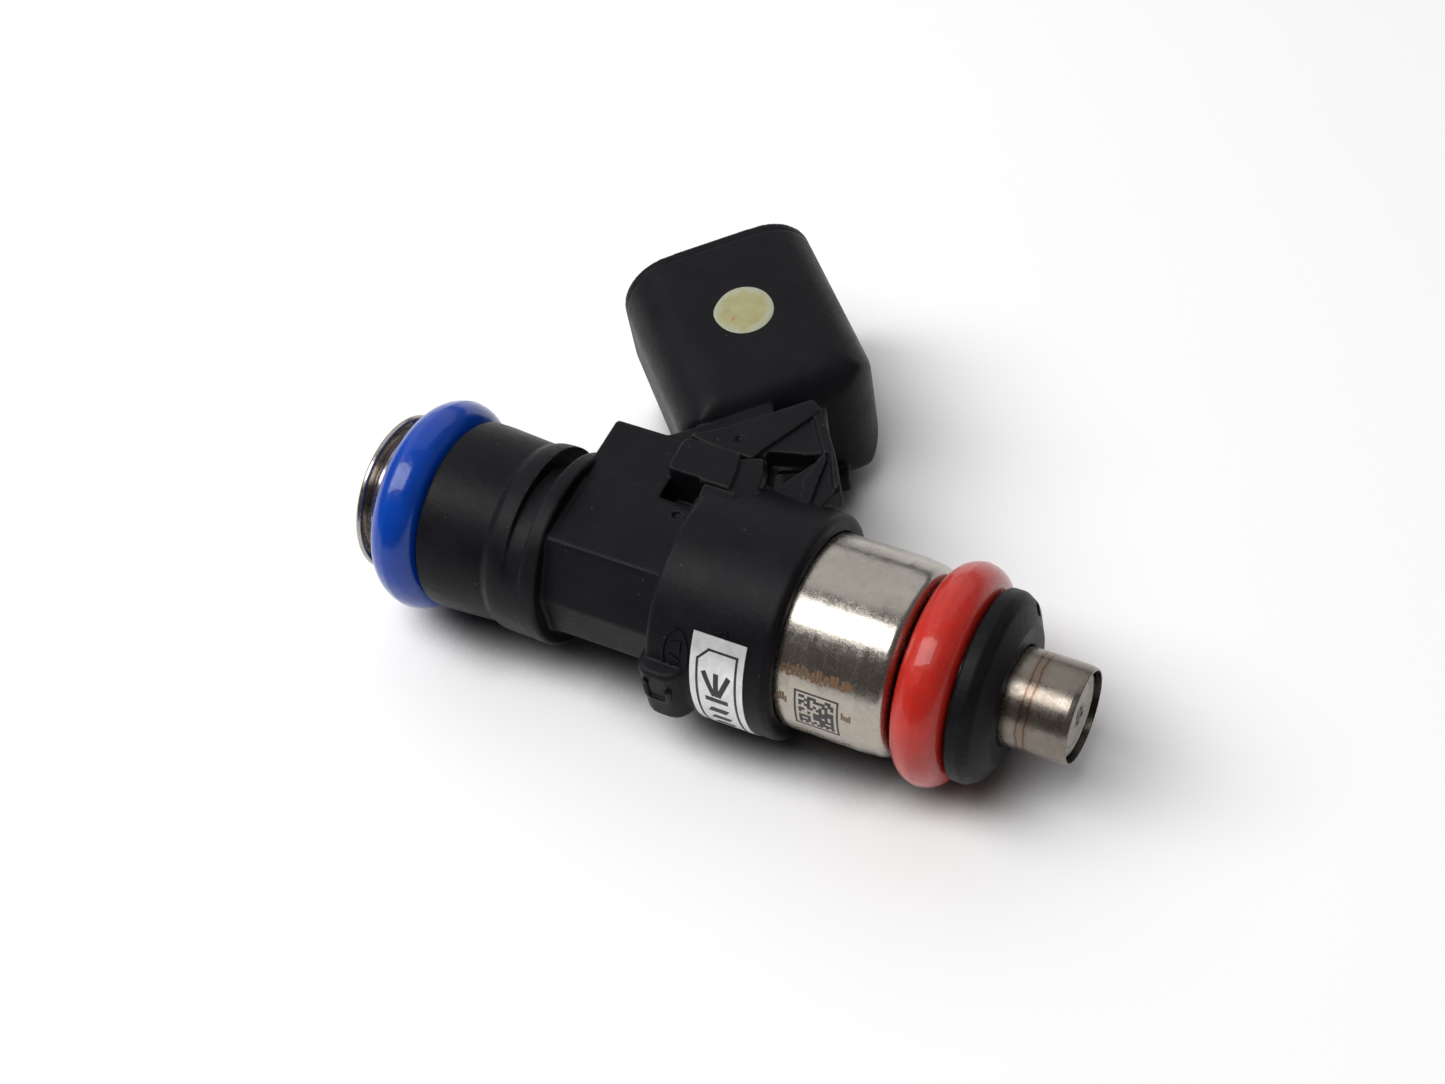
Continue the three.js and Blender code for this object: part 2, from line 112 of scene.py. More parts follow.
# Connector directions: u out along the connector, v across it, z the same as the part's own.
CONNECTOR_ORIGIN_X = -25.17
SHROUD_U = (9.0, 23.9)
SHROUD_V = (1.95, 15.65)
SHROUD_HALF_Z = 6.0
SHROUD_CORNER = 3.7
SHROUD_WALL = 1.3
SOCKET_FLOOR_U = 11.6
SHROUD_MIDDLE_V = (SHROUD_V[0] + SHROUD_V[1]) / 2
TERMINAL_V = 8.8
TERMINAL_Z = 2.5


def conn(u, v):
    root = math.sqrt(0.5)
    return CONNECTOR_ORIGIN_X + (v - u) * root, (u + v) * root


def connector_matrix(u, v):
    """Columns are v, z and u directions, placed at (u, v)."""
    root = math.sqrt(0.5)
    x, y = conn(u, v)
    return Matrix((
        (-root, 0, -root, x),
        (-root, 0, root, y),
        (0, 1, 0, 0),
        (0, 0, 0, 1),
    ))


# ---------------------------------------------------------------- mesh tools
def add_object(name, vertices, faces, sharp=32):
    mesh = bpy.data.meshes.new(name)
    mesh.from_pydata([Vector(v) * MM for v in vertices], [], faces)
    mesh.validate()
    obj = bpy.data.objects.new(name, mesh)
    bpy.context.scene.collection.objects.link(obj)
    outward(obj)
    shade(obj, sharp)
    return obj


def outward(obj):
    work = bmesh.new()
    work.from_mesh(obj.data)
    bmesh.ops.recalc_face_normals(work, faces=work.faces)
    work.to_mesh(obj.data)
    work.free()


def shade(obj, sharp=32):
    for polygon in obj.data.polygons:
        polygon.use_smooth = True
    obj.data.set_sharp_from_angle(angle=math.radians(sharp))


def filleted(points, steps=6):
    """Closed outline from (x, y) or (x, y, fillet) corners."""
    outline = []
    count = len(points)
    for i, point in enumerate(points):
        here = Vector(point[:2])
        radius = point[2] if len(point) > 2 else 0
        if radius <= 0:
            outline.append(tuple(here))
            continue
        before = Vector(points[i - 1][:2]) - here
        after = Vector(points[(i + 1) % count][:2]) - here
        reach = min(before.length, after.length) * 0.49
        a = before.normalized()
        b = after.normalized()
        half = a.angle(b) / 2
        if half > math.radians(88):
            outline.append(tuple(here))
            continue
        cut = min(radius / math.tan(half), reach)
        radius = cut * math.tan(half)
        centre = here + (a + b).normalized() * (radius / math.sin(half))
        start = here + a * cut - centre
        end = here + b * cut - centre
        sweep = start.angle_signed(end)
        for k in range(steps + 1):
            turn = Matrix.Rotation(-sweep * k / steps, 2)
            outline.append(tuple(centre + turn @ start))
    return outline


def lathe(name, profile, segments=TURNED, steps=6, sharp=32, wobble=None):
    """Turns a closed (x, r, fillet) section about the X axis."""
    section = filleted(profile, steps)
    vertices = []
    rings = []
    for x, r in section:
        if r < 1e-4:
            rings.append([len(vertices)])
            vertices.append((x, 0, 0))
            continue
        ring = []
        for k in range(segments):
            angle = 2 * math.pi * k / segments
            reach = r + (wobble(x, r, angle) if wobble else 0)
            ring.append(len(vertices))
            vertices.append((x, reach * math.cos(angle), reach * math.sin(angle)))
        rings.append(ring)
    faces = []
    for first, second in zip(rings, rings[1:] + rings[:1]):
        if len(first) == 1 and len(second) == 1:
            continue
        for k in range(segments):
            n = (k + 1) % segments
            a, b = len(first), len(second)
            corners = [first[k % a], first[n % a], second[n % b], second[k % b]]
            faces.append(list(dict.fromkeys(corners)))
    return add_object(name, vertices, faces, sharp)


def tube_profile(x0, x1, inner, outer, fillet=0.0):
    return [(x0, inner, fillet), (x0, outer, fillet), (x1, outer, fillet), (x1, inner, fillet)]


def rod(name, x0, x1, r, segments=FINE_TURNED):
    return lathe(name, [(x0, 0), (x0, r), (x1, r), (x1, 0)], segments)


def plate(name, points, z0, z1, bevel=0.0, steps=5, matrix=None):
    """Closed (x, y, fillet) outline raised from z0 to z1, with rounded edges."""
    outline = filleted(points, steps)
    count = len(outline)
    vertices = [(x, y, z0) for x, y in outline] + [(x, y, z1) for x, y in outline]
    faces = [list(range(count))[::-1], list(range(count, 2 * count))]
    for i in range(count):
        n = (i + 1) % count
        faces.append([i, n, count + n, count + i])
    obj = add_object(name, vertices, faces)
    if bevel > 0:
        bevelled(obj, bevel)
    if matrix is not None:
        moved(obj, matrix)
    return obj


def bevelled(obj, width):
    modifier = obj.modifiers.new("bevel", "BEVEL")
    modifier.width = width * MM
    modifier.segments = 3
    modifier.limit_method = "ANGLE"
    modifier.angle_limit = math.radians(30)
    apply_modifiers(obj)
    shade(obj)


def moved(obj, matrix):
    scaled = matrix.copy()
    scaled.translation = matrix.translation * MM
    obj.data.transform(scaled)
    if matrix.determinant() < 0:
        obj.data.flip_normals()
    return obj


def rounded_rectangle(width, height, radius):
    w, h = width / 2, height / 2
    return [(-w, -h, radius), (w, -h, radius), (w, h, radius), (-w, h, radius)]


def block(name, x, y, z, bevel):
    points = [(x[0], y[0]), (x[1], y[0]), (x[1], y[1]), (x[0], y[1])]
    return plate(name, points, z[0], z[1], bevel)


def apply_modifiers(obj):
    graph = bpy.context.evaluated_depsgraph_get()
    mesh = bpy.data.meshes.new_from_object(obj.evaluated_get(graph))
    old = obj.data
    obj.modifiers.clear()
    obj.data = mesh
    bpy.data.meshes.remove(old)


def combine(base, others, operation):
    """Boolean of base with each of the others, which are used up."""
    for other in others:
        modifier = base.modifiers.new("combine", "BOOLEAN")
        modifier.operation = operation
        modifier.solver = "MANIFOLD"
        modifier.object = other
        apply_modifiers(base)
        bpy.data.objects.remove(other)
    return base


def union(base, *others):
    return combine(base, others, "UNION")


def subtract(base, *others):
    return combine(base, others, "DIFFERENCE")


def intersect(base, *others):
    return combine(base, others, "INTERSECT")


def soften(obj, voxel, rounds, triangles):
    """One even skin with soft moulded edges, then thinned to a number of triangles."""
    remesh = obj.modifiers.new("remesh", "REMESH")
    remesh.mode = "VOXEL"
    remesh.voxel_size = voxel * MM
    smooth = obj.modifiers.new("smooth", "SMOOTH")
    smooth.factor = 0.5
    smooth.iterations = rounds
    apply_modifiers(obj)
    count = sum(len(p.vertices) - 2 for p in obj.data.polygons)
    if count > triangles:
        thin = obj.modifiers.new("thin", "DECIMATE")
        thin.ratio = triangles / count
        apply_modifiers(obj)
    shade(obj, 180)


def mark_edges(obj, low=0.9, high=3.0):
    """Stores how sharply each vertex stands out, from 0 on flats and hollows to 1 on worn edges."""
    mesh = obj.data
    count = len(mesh.vertices)
    place = np.zeros(count * 3)
    normal = np.zeros(count * 3)
    mesh.vertices.foreach_get("co", place)
    mesh.vertices.foreach_get("normal", normal)
    place = place.reshape(-1, 3) / MM
    normal = normal.reshape(-1, 3)
    ends = np.zeros(len(mesh.edges) * 2, dtype=np.int32)
    mesh.edges.foreach_get("vertices", ends)
    ends = np.concatenate([ends.reshape(-1, 2), ends.reshape(-1, 2)[:, ::-1]])
    span = place[ends[:, 0]] - place[ends[:, 1]]
    rise = np.einsum("ij,ij->i", normal[ends[:, 0]], span)
    length_squared = np.maximum(np.einsum("ij,ij->i", span, span), 1e-6)
    bend = 2 * rise / length_squared
    near = np.maximum(np.bincount(ends[:, 0], minlength=count), 1)
    curve = np.bincount(ends[:, 0], weights=bend, minlength=count) / near
    for _ in range(2):
        around = np.bincount(ends[:, 0], weights=curve[ends[:, 1]], minlength=count) / near
        curve = 0.5 * curve + 0.5 * around
    share = np.clip((curve - low) / (high - low), 0, 1)
    layer = mesh.attributes.new("edge", "FLOAT", "POINT")
    layer.data.foreach_set("value", share.astype(np.float32))


def tube_along(name, points, radius, sides=12):
    """Round wire along a list of points."""
    points = [Vector(p) for p in points]
    count = len(points)
    vertices = []
    normal = None
    for i, point in enumerate(points):
        tangent = (points[min(i + 1, count - 1)] - points[max(i - 1, 0)]).normalized()
        if normal is None:
            normal = tangent.orthogonal().normalized()
        normal = (normal - tangent * normal.dot(tangent)).normalized()
        across = tangent.cross(normal)
        for k in range(sides):
            angle = 2 * math.pi * k / sides
            vertices.append(point + (normal * math.cos(angle) + across * math.sin(angle)) * radius)
    faces = []
    for i in range(count - 1):
        for k in range(sides):
            n = (k + 1) % sides
            faces.append([i * sides + k, i * sides + n, (i + 1) * sides + n, (i + 1) * sides + k])
    faces.append(list(range(sides))[::-1])
    faces.append([(count - 1) * sides + k for k in range(sides)])
    return add_object(name, vertices, faces, 60)


def on_drum(x, angle, r):
    """Point at an angle above -Y, in degrees, on a drum of radius r about the X axis."""
    turn = math.radians(angle)
    return x, -r * math.cos(turn), r * math.sin(turn)


def drum_patch(vertices, faces, outline, r0, r1, step=1.5):
    """Adds a thin raised patch whose (x, angle) outline is convex and lies on a drum."""
    xs = [p[0] for p in outline]
    angles = [p[1] for p in outline]
    low, high = min(angles), max(angles)
    rows = max(1, math.ceil((high - low) / step))
    start = len(vertices)
    count = len(outline)
    for i in range(rows + 1):
        level = low + (high - low) * i / rows
        level = min(max(level, low + 1e-6), high - 1e-6)
        cuts = []
        for a, b in zip(outline, outline[1:] + outline[:1]):
            if (a[1] - level) * (b[1] - level) < 0:
                share = (level - a[1]) / (b[1] - a[1])
                cuts.append(a[0] + (b[0] - a[0]) * share)
        x0, x1 = (min(cuts), max(cuts)) if len(cuts) > 1 else (sum(xs) / count,) * 2
        for r in (r0, r1):
            vertices.append(on_drum(x0, level, r))
            vertices.append(on_drum(x1, level, r))
    for i in range(rows):
        a = start + i * 4
        b = a + 4
        faces.append([a + 2, a + 3, b + 3, b + 2])
        faces.append([a, b, b + 1, a + 1])
        faces.append([a, a + 2, b + 2, b])
        faces.append([a + 1, b + 1, b + 3, a + 3])
    faces.append([start, start + 1, start + 3, start + 2])
    end = start + rows * 4
    faces.append([end, end + 2, end + 3, end + 1])


def drum_marks(name, outlines, r0, r1):
    vertices = []
    faces = []
    for outline in outlines:
        drum_patch(vertices, faces, outline, r0, r1)
    return add_object(name, vertices, faces, 40)


def drum_bar(x0, x1, a0, a1, slant=0.0):
    return [(x0, a0), (x1, a0), (x1 + slant, a1), (x0 + slant, a1)]


def drum_stroke(points, width, r):
    """Outlines of straight strokes between (x, angle) points, each width mm wide."""
    outlines = []
    per_degree = math.radians(1) * r
    for (x0, a0), (x1, a1) in zip(points, points[1:]):
        along = Vector((x1 - x0, (a1 - a0) * per_degree))
        if along.length < 1e-6:
            continue
        along.normalize()
        across = Vector((-along.y, along.x)) * width / 2
        end = along * width / 2
        corners = [
            Vector((x0, a0 * per_degree)) - end + across,
            Vector((x0, a0 * per_degree)) - end - across,
            Vector((x1, a1 * per_degree)) + end - across,
            Vector((x1, a1 * per_degree)) + end + across,
        ]
        outlines.append([(c.x, c.y / per_degree) for c in corners])
    return outlines


# ---------------------------------------------------------------- material tools
class Finish:
    """One procedural material and the helpers that build its nodes."""

    def __init__(self, name, colour, roughness, metallic=0.0, **sockets):
        self.material = bpy.data.materials.new(name)
        self.material.use_nodes = True
        self.tree = self.material.node_tree
        self.shader = self.tree.nodes["Principled BSDF"]
        self.shader.inputs["Base Color"].default_value = (*colour, 1)
        self.shader.inputs["Roughness"].default_value = roughness
        self.shader.inputs["Metallic"].default_value = metallic
        for socket, value in sockets.items():
            self.shader.inputs[socket.replace("_", " ")].default_value = value
        self.normal = None
        texture = self.tree.nodes.new("ShaderNodeTexCoord")
        self.place = self.vector("MULTIPLY", texture.outputs["Object"], (1 / MM,) * 3)

    def node(self, kind, **values):
        node = self.tree.nodes.new(kind)
        for key, value in values.items():
            setattr(node, key, value)
        return node

    def link(self, source, socket):
        if isinstance(source, bpy.types.NodeSocket):
            self.tree.links.new(source, socket)
        else:
            socket.default_value = source

    def vector(self, operation, a, b):
        node = self.node("ShaderNodeVectorMath", operation=operation)
        self.link(a, node.inputs[0])
        self.link(b, node.inputs[1])
        return node.outputs[0]

    def maths(self, operation, a, b=0.0, c=0.0):
        node = self.node("ShaderNodeMath", operation=operation)
        self.link(a, node.inputs[0])
        self.link(b, node.inputs[1])
        self.link(c, node.inputs[2])
        return node.outputs[0]

    def split(self, vector=None):
        node = self.node("ShaderNodeSeparateXYZ")
        self.link(vector or self.place, node.inputs[0])
        return node.outputs

    def stretch(self, factors):
        return self.vector("MULTIPLY", self.place, factors)

    def around(self, along=1.0, turns=1.0, radial=1.0):
        """Coordinates (x, arc, r) of a turned piece, scaled."""
        x, y, z = self.split()
        angle = self.maths("ARCTAN2", z, y)
        join = self.node("ShaderNodeCombineXYZ")
        self.link(self.maths("MULTIPLY", x, along), join.inputs[0])
        self.link(self.maths("MULTIPLY", angle, turns), join.inputs[1])
        self.link(self.maths("MULTIPLY", self.radius(), radial), join.inputs[2])
        return join.outputs[0]

    def radius(self):
        _, y, z = self.split()
        squares = self.maths("ADD", self.maths("MULTIPLY", y, y), self.maths("MULTIPLY", z, z))
        return self.maths("SQRT", squares)

    def distance_from(self, x0, y0):
        """Distance in the XY plane from a point."""
        x, y = self.split()[:2]
        across = self.maths("POWER", self.maths("SUBTRACT", x, x0), 2.0)
        along = self.maths("POWER", self.maths("SUBTRACT", y, y0), 2.0)
        return self.maths("SQRT", self.maths("ADD", across, along))

    def noise(self, scale, detail=3.0, roughness=0.55, distortion=0.0, place=None):
        node = self.node("ShaderNodeTexNoise")
        self.link(place or self.place, node.inputs["Vector"])
        node.inputs["Scale"].default_value = scale
        node.inputs["Detail"].default_value = detail
        node.inputs["Roughness"].default_value = roughness
        node.inputs["Distortion"].default_value = distortion
        return node.outputs["Fac"]

    def cells(self, scale, place=None):
        node = self.node("ShaderNodeTexVoronoi")
        self.link(place or self.place, node.inputs["Vector"])
        node.inputs["Scale"].default_value = scale
        return node.outputs["Distance"]

    def spread(self, value, low, high, to_low=0.0, to_high=1.0, smooth=False):
        node = self.node("ShaderNodeMapRange")
        node.interpolation_type = "SMOOTHSTEP" if smooth else "LINEAR"
        for i, source in enumerate((value, low, high, to_low, to_high)):
            self.link(source, node.inputs[i])
        return node.outputs[0]

    def band(self, value, low, high, soft):
        rise = self.spread(value, low - soft, low + soft, smooth=True)
        fall = self.spread(value, high - soft, high + soft, 1.0, 0.0, smooth=True)
        return self.maths("MULTIPLY", rise, fall)

    def blend(self, share, a, b):
        node = self.node("ShaderNodeMix", data_type="RGBA")
        self.link(share, node.inputs[0])
        self.link(self.rgba(a), node.inputs[6])
        self.link(self.rgba(b), node.inputs[7])
        return node.outputs[2]

    def rgba(self, value):
        return (*value, 1) if isinstance(value, tuple) and len(value) == 3 else value

    def colour(self, value):
        self.link(self.rgba(value), self.shader.inputs["Base Color"])

    def rough(self, value):
        self.link(value, self.shader.inputs["Roughness"])

    def raise_by(self, height, depth):
        """Adds a bump of the given depth in millimetres."""
        node = self.node("ShaderNodeBump")
        node.inputs["Strength"].default_value = 1.0
        node.inputs["Distance"].default_value = depth * MM
        self.link(height, node.inputs["Height"])
        if self.normal is not None:
            self.link(self.normal, node.inputs["Normal"])
        self.normal = node.outputs[0]
        self.link(self.normal, self.shader.inputs["Normal"])

    def edges(self):
        """1 on worn convex edges, 0 elsewhere."""
        return self.node("ShaderNodeAttribute", attribute_name="edge").outputs["Fac"]


def times(colour, *shares):
    """The colour with all channels scaled by one share, or each by its own."""
    shares = shares * 3 if len(shares) == 1 else shares
    return tuple(c * share for c, share in zip(colour, shares))


def moulded_plastic(name, colour, worn, roughness, dust=0.25):
    f = Finish(name, colour, roughness, Specular_IOR_Level=0.1)
    cloud = f.noise(0.28, 4, 0.6)
    fine = f.noise(2.6, 4, 0.65)
    grain = f.noise(14.0, 2, 0.6)
    smear = f.noise(0.9, 5, 0.7, 1.2, f.stretch((0.5, 1.6, 1.1)))
    tone = f.blend(f.spread(cloud, 0.35, 0.7), times(colour, 0.78), times(colour, 1.25))
    scuffs = f.maths("MULTIPLY", f.spread(smear, 0.58, 0.74), dust)
    tone = f.blend(scuffs, tone, worn)
    rim = f.maths("MULTIPLY", f.edges(), f.spread(fine, 0.3, 0.6, 0.25, 0.75))
    tone = f.blend(rim, tone, worn)
    speck = f.spread(f.cells(0.55), 0.045, 0.03)
    tone = f.blend(f.maths("MULTIPLY", speck, 0.3), tone, (0.12, 0.11, 0.10))
    f.colour(tone)
    base = f.spread(cloud, 0.3, 0.7, roughness - 0.07, roughness + 0.07)
    f.rough(f.maths("ADD", base, f.spread(fine, 0.3, 0.7, -0.04, 0.05)))
    f.raise_by(grain, 0.012)
    f.raise_by(fine, 0.02)
    return f.material


def drawn_steel(name, colour, roughness, tint=None):
    """Bright drawn or turned stainless steel, brushed around its axis."""
    f = Finish(name, colour, roughness, 1.0)
    rings = f.noise(1.0, 3, 0.6, 0.0, f.around(12.0, 3.0, 4.0))
    cloud = f.noise(0.5, 4, 0.6)
    grain = f.noise(9.0, 4, 0.7)
    stains = f.noise(1.3, 5, 0.7, 0.8)
    tone = f.blend(f.spread(cloud, 0.35, 0.7), times(colour, 0.9), times(colour, 1.06))
    stained = f.maths("MULTIPLY", f.spread(stains, 0.5, 0.7), 0.4)
    tone = f.blend(stained, tone, times(colour, 0.74, 0.68, 0.6))
    if tint:
        tone = tint(f, tone)
    f.colour(tone)
    worn = f.spread(grain, 0.35, 0.7, roughness - 0.04, roughness + 0.07)
    patchy = f.maths("ADD", f.spread(rings, 0.3, 0.7, -0.02, 0.03), f.spread(stains, 0.4, 0.68, -0.03, 0.09))
    f.rough(f.maths("ADD", worn, patchy))
    f.raise_by(rings, 0.0008)
    f.raise_by(grain, 0.003)
    f.raise_by(cloud, 0.02)
    return f.material


def weld_tint_and_bore_shade(f, tone):
    """Brown heat colour round the two weld rings, and painted shade on the bore's wall at the tip."""
    x = f.split()[0]
    shift = f.spread(f.noise(1.2, 3), 0.3, 0.7, -0.08, 0.08)
    where = f.maths("ADD", x, shift)
    tone = f.blend(f.maths("MULTIPLY", f.band(where, -3.05, -2.1, 0.16), 0.5), tone, (0.17, 0.118, 0.08))
    for station in WELD_X:
        ring = f.maths("MULTIPLY", f.band(where, station - 0.07, station + 0.07, 0.04), 0.8)
        tone = f.blend(ring, tone, (0.10, 0.06, 0.045))
    # painted shade: the bore's wall near the tip end is coloured near black
    inner = f.maths("MULTIPLY", f.spread(f.radius(), 3.0, 2.92), f.spread(x, -0.8, -0.6))
    return f.blend(f.maths("MULTIPLY", inner, 0.9), tone, (0.03, 0.026, 0.022))


def shell_tint(f, tone):
    """Faint brown haze round the etched marks."""
    y = f.split()[1]
    low = f.spread(y, -6.1, -5.2, 1.0, 0.0, smooth=True)
    haze = f.spread(f.noise(1.6, 4, 0.65), 0.35, 0.7)
    return f.blend(f.maths("MULTIPLY", low, f.maths("MULTIPLY", haze, 0.35)), tone, (0.52, 0.44, 0.32))


def rubber(name, colour, deep, roughness, scuff=None):
    f = Finish(name, colour, roughness, Specular_IOR_Level=0.2, Coat_Weight=0.4, Coat_Roughness=0.07)
    cloud = f.noise(0.5, 4, 0.6)
    fine = f.noise(6.0, 4, 0.6)
    tone = f.blend(f.spread(cloud, 0.35, 0.68), deep, colour)
    if scuff:
        streak = f.noise(2.4, 5, 0.75, 1.5, f.around(0.9, 3.2, 1.0))
        marks = f.spread(streak, 0.63, 0.70)
        tone = f.blend(f.maths("MULTIPLY", marks, 0.6), tone, scuff)
        pits = f.spread(f.cells(1.4, f.around(1.0, 5.0, 1.0)), 0.07, 0.04)
        tone = f.blend(f.maths("MULTIPLY", pits, 0.45), tone, times(deep, 0.25))
        f.raise_by(streak, 0.05)
    f.colour(tone)
    f.rough(f.spread(fine, 0.3, 0.75, roughness - 0.05, roughness + 0.12))
    f.raise_by(fine, 0.012)
    f.raise_by(cloud, 0.08)
    return f.material


def plain_metal(name, colour, roughness, grain=5.0):
    f = Finish(name, colour, roughness, 1.0)
    fine = f.noise(grain, 4, 0.65)
    cloud = f.noise(0.6, 3)
    f.colour(f.blend(f.spread(cloud, 0.3, 0.7), times(colour, 0.82), colour))
    f.rough(f.spread(fine, 0.3, 0.7, roughness - 0.06, roughness + 0.08))
    f.raise_by(fine, 0.008)
    return f.material


def wound_copper():
    f = Finish("copper_enamel", (0.55, 0.22, 0.10), 0.32, 1.0, Coat_Weight=0.5)
    turns = f.noise(1.0, 2, 0.5, 0.0, f.around(14.0, 0.6, 1.0))
    f.colour(f.blend(f.spread(turns, 0.3, 0.7), (0.33, 0.12, 0.05), (0.66, 0.29, 0.13)))
    f.rough(f.spread(turns, 0.3, 0.7, 0.26, 0.42))
    f.raise_by(turns, 0.02)
    return f.material


def woven_mesh():
    f = Finish("filter_weave", (0.42, 0.40, 0.36), 0.4, 0.6)
    x, y = f.split(f.around(1.0, 2.0, 1.0))[:2]
    warp = f.maths("SINE", f.maths("MULTIPLY", x, 42.0))
    weft = f.maths("SINE", f.maths("MULTIPLY", y, 42.0))
    weave = f.maths("MULTIPLY", warp, weft)
    f.colour(f.blend(f.spread(weave, -0.6, 0.8), (0.12, 0.11, 0.10), (0.62, 0.60, 0.55)))
    f.rough(f.spread(weave, -1, 1, 0.55, 0.3))
    f.raise_by(weave, 0.03)
    return f.material


def label_silver():
    f = Finish("label_film", (0.60, 0.60, 0.61), 0.38, 0.55)
    z = f.split()[2]
    wrinkle = f.noise(1.1, 4, 0.6, 0.6)
    scratch = f.noise(3.0, 5, 0.75, 1.0, f.stretch((1.0, 0.4, 0.6)))
    worn = f.maths("MULTIPLY", f.spread(z, -1.2, -4.2, 0.0, 1.0, smooth=True), f.spread(scratch, 0.42, 0.62))
    tone = f.blend(f.spread(wrinkle, 0.3, 0.7), (0.64, 0.64, 0.65), (0.82, 0.82, 0.83))
    f.colour(f.blend(f.maths("MULTIPLY", worn, 0.7), tone, (0.16, 0.16, 0.17)))
    f.rough(f.spread(scratch, 0.3, 0.7, 0.3, 0.5))
    f.raise_by(wrinkle, 0.03)
    return f.material


def ink(name, colour, patchy=0.25):
    f = Finish(name, colour, 0.55)
    wear = f.noise(5.0, 4, 0.7)
    faded = tuple(c * 0.5 + 0.12 for c in colour)
    f.colour(f.blend(f.maths("MULTIPLY", f.spread(wear, 0.5, 0.7), patchy), colour, faded))
    f.rough(f.spread(wear, 0.3, 0.7, 0.45, 0.65))
    return f.material


def dot_paint():
    f = Finish("marker_paint", (0.72, 0.69, 0.40), 0.42)
    away = f.distance_from(*DOT_PLACE)
    wave = f.spread(f.noise(1.6, 3), 0.3, 0.7, -0.3, 0.3)
    rim = f.spread(f.maths("ADD", away, wave), 1.35, 1.95, smooth=True)
    cloud = f.spread(f.noise(0.9, 4, 0.6), 0.35, 0.7)
    tone = f.blend(cloud, (0.28, 0.262, 0.113), (0.335, 0.316, 0.156))
    tone = f.blend(f.maths("MULTIPLY", rim, 0.8), tone, (0.34, 0.35, 0.27))
    spot = f.spread(f.noise(2.2, 2), 0.69, 0.72)
    f.colour(f.blend(f.maths("MULTIPLY", spot, 0.8), tone, (0.34, 0.13, 0.07)))
    f.rough(f.spread(f.noise(4.0, 3), 0.3, 0.7, 0.36, 0.5))
    f.raise_by(f.noise(1.8, 3), 0.04)
    return f.material


FAR_FLOOR = (170, 700)  # painted light: the paper is made to glow over these distances, past the reach of the lights
PAINTED_SHADOW_REACH = 7  # the paper's colour is darkened, as a painted shadow, this close to what stands on it


def floor_paper():
    f = Finish("floor_paper", (0.9, 0.9, 0.9), 0.7)
    soft = f.noise(0.02, 3)
    # painted shadow: the paper's colour goes near black where ambient occlusion finds the injector close by
    open_share = f.node("ShaderNodeAmbientOcclusion")
    open_share.inputs["Distance"].default_value = PAINTED_SHADOW_REACH * MM
    painted_shadow_mask = f.spread(open_share.outputs["AO"], 0.28, 0.72, smooth=True)
    paper = f.blend(soft, (0.90, 0.90, 0.90), (0.915, 0.915, 0.915))
    f.colour(f.blend(painted_shadow_mask, (0.07, 0.07, 0.07), paper))
    f.rough(f.spread(f.noise(0.2, 3), 0.3, 0.7, 0.66, 0.76))
    # painted light: the paper glows more with distance from the injector, where the lamps fall off
    away = f.distance_from(0.0, 0.0)
    f.link(f.rgba((1.0, 1.0, 1.0)), f.shader.inputs["Emission Color"])
    glow = f.spread(away, *FAR_FLOOR, 0.0, 0.85, smooth=True)
    f.link(glow, f.shader.inputs["Emission Strength"])
    return f.material


def finished(piece, material, slot, body, *nodes):
    """Gives a new piece its material and body, and hides the CAD nodes it stands for; the slot argument is not used."""
    piece.data.materials.clear()
    piece.data.materials.append(material)
    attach(piece, body)
    if nodes:
        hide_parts(*nodes)
    return piece


# ---------------------------------------------------------------- overmoulded housing
def housing_turned():
    x0 = COLLAR_X[0]
    return lathe("turned", [
        (HOUSING_TOP_X, 0), (HOUSING_TOP_X, NECK_R[0], 0.35), (-42.2, NECK_R[0], 1.0),
        (-39.0, 6.2, 0.5), (-38.6, NECK_R[1] + 0.05, 0.2), (x0 + 0.35, COLLAR_R - 0.05, 0.3),
        (x0 + 0.8, COLLAR_R, 0.2), (FLANGE_X[0], COLLAR_R + 0.03), (FLANGE_X[0] + 0.02, FLANGE_R, 0.12),
        (FLANGE_X[1], FLANGE_R, 0.25), (FLANGE_X[1], 4.4), (BODY_X, 4.4),
        (BODY_X, BODY_R, 0.4), (HOUSING_END_X, BODY_R, 1.15), (HOUSING_END_X, SHELL_R + 0.02, 0.1),
        (HOUSING_END_X - 0.35, SHELL_R + 0.02), (HOUSING_END_X - 0.35, 0),
    ], FINE_TURNED, 8)


def neck_prism():
    half = 5.4
    top = 7.5
    section = [
        (top, 5.1, 0.45), (2.35, 5.2, 0.1), (2.1, half, 0.2), (-3.1, half, 0.35), (-5.3, 1.6, 0.5),
        (-5.3, -1.6, 0.5), (-3.1, -half, 0.35), (2.1, -half, 0.2), (2.35, -5.2, 0.1), (top, -5.1, 0.45),
    ]
    lay = Matrix(((0, 0, 1, 0), (1, 0, 0, 0), (0, 1, 0, 0), (0, 0, 0, 1)))
    return plate("neck", section, FLANGE_X[1] - 0.4, BODY_X + 1, 0, 6, lay)


def root_core():
    """Middle of the root, round the terminals, between the body and the back of the shroud."""
    points = [
        (-31.5, 2), (-31.5, 7.4), conn(9.6, 2.2), conn(9.6, 10.6), (-23.3, 12.7, 0.4), (-23.3, 11.0, 0.8),
        (-24.3, 9.0, 0.6), (-22.6, 5), (-22, 2),
    ]
    return plate("root", points, -3.9, 3.9, 0.12)


def raised(name, points, side, z0, z1, bevel, steps=5):
    low, high = sorted((side * z0, side * z1))
    return plate(name, points, low, high, bevel, steps)


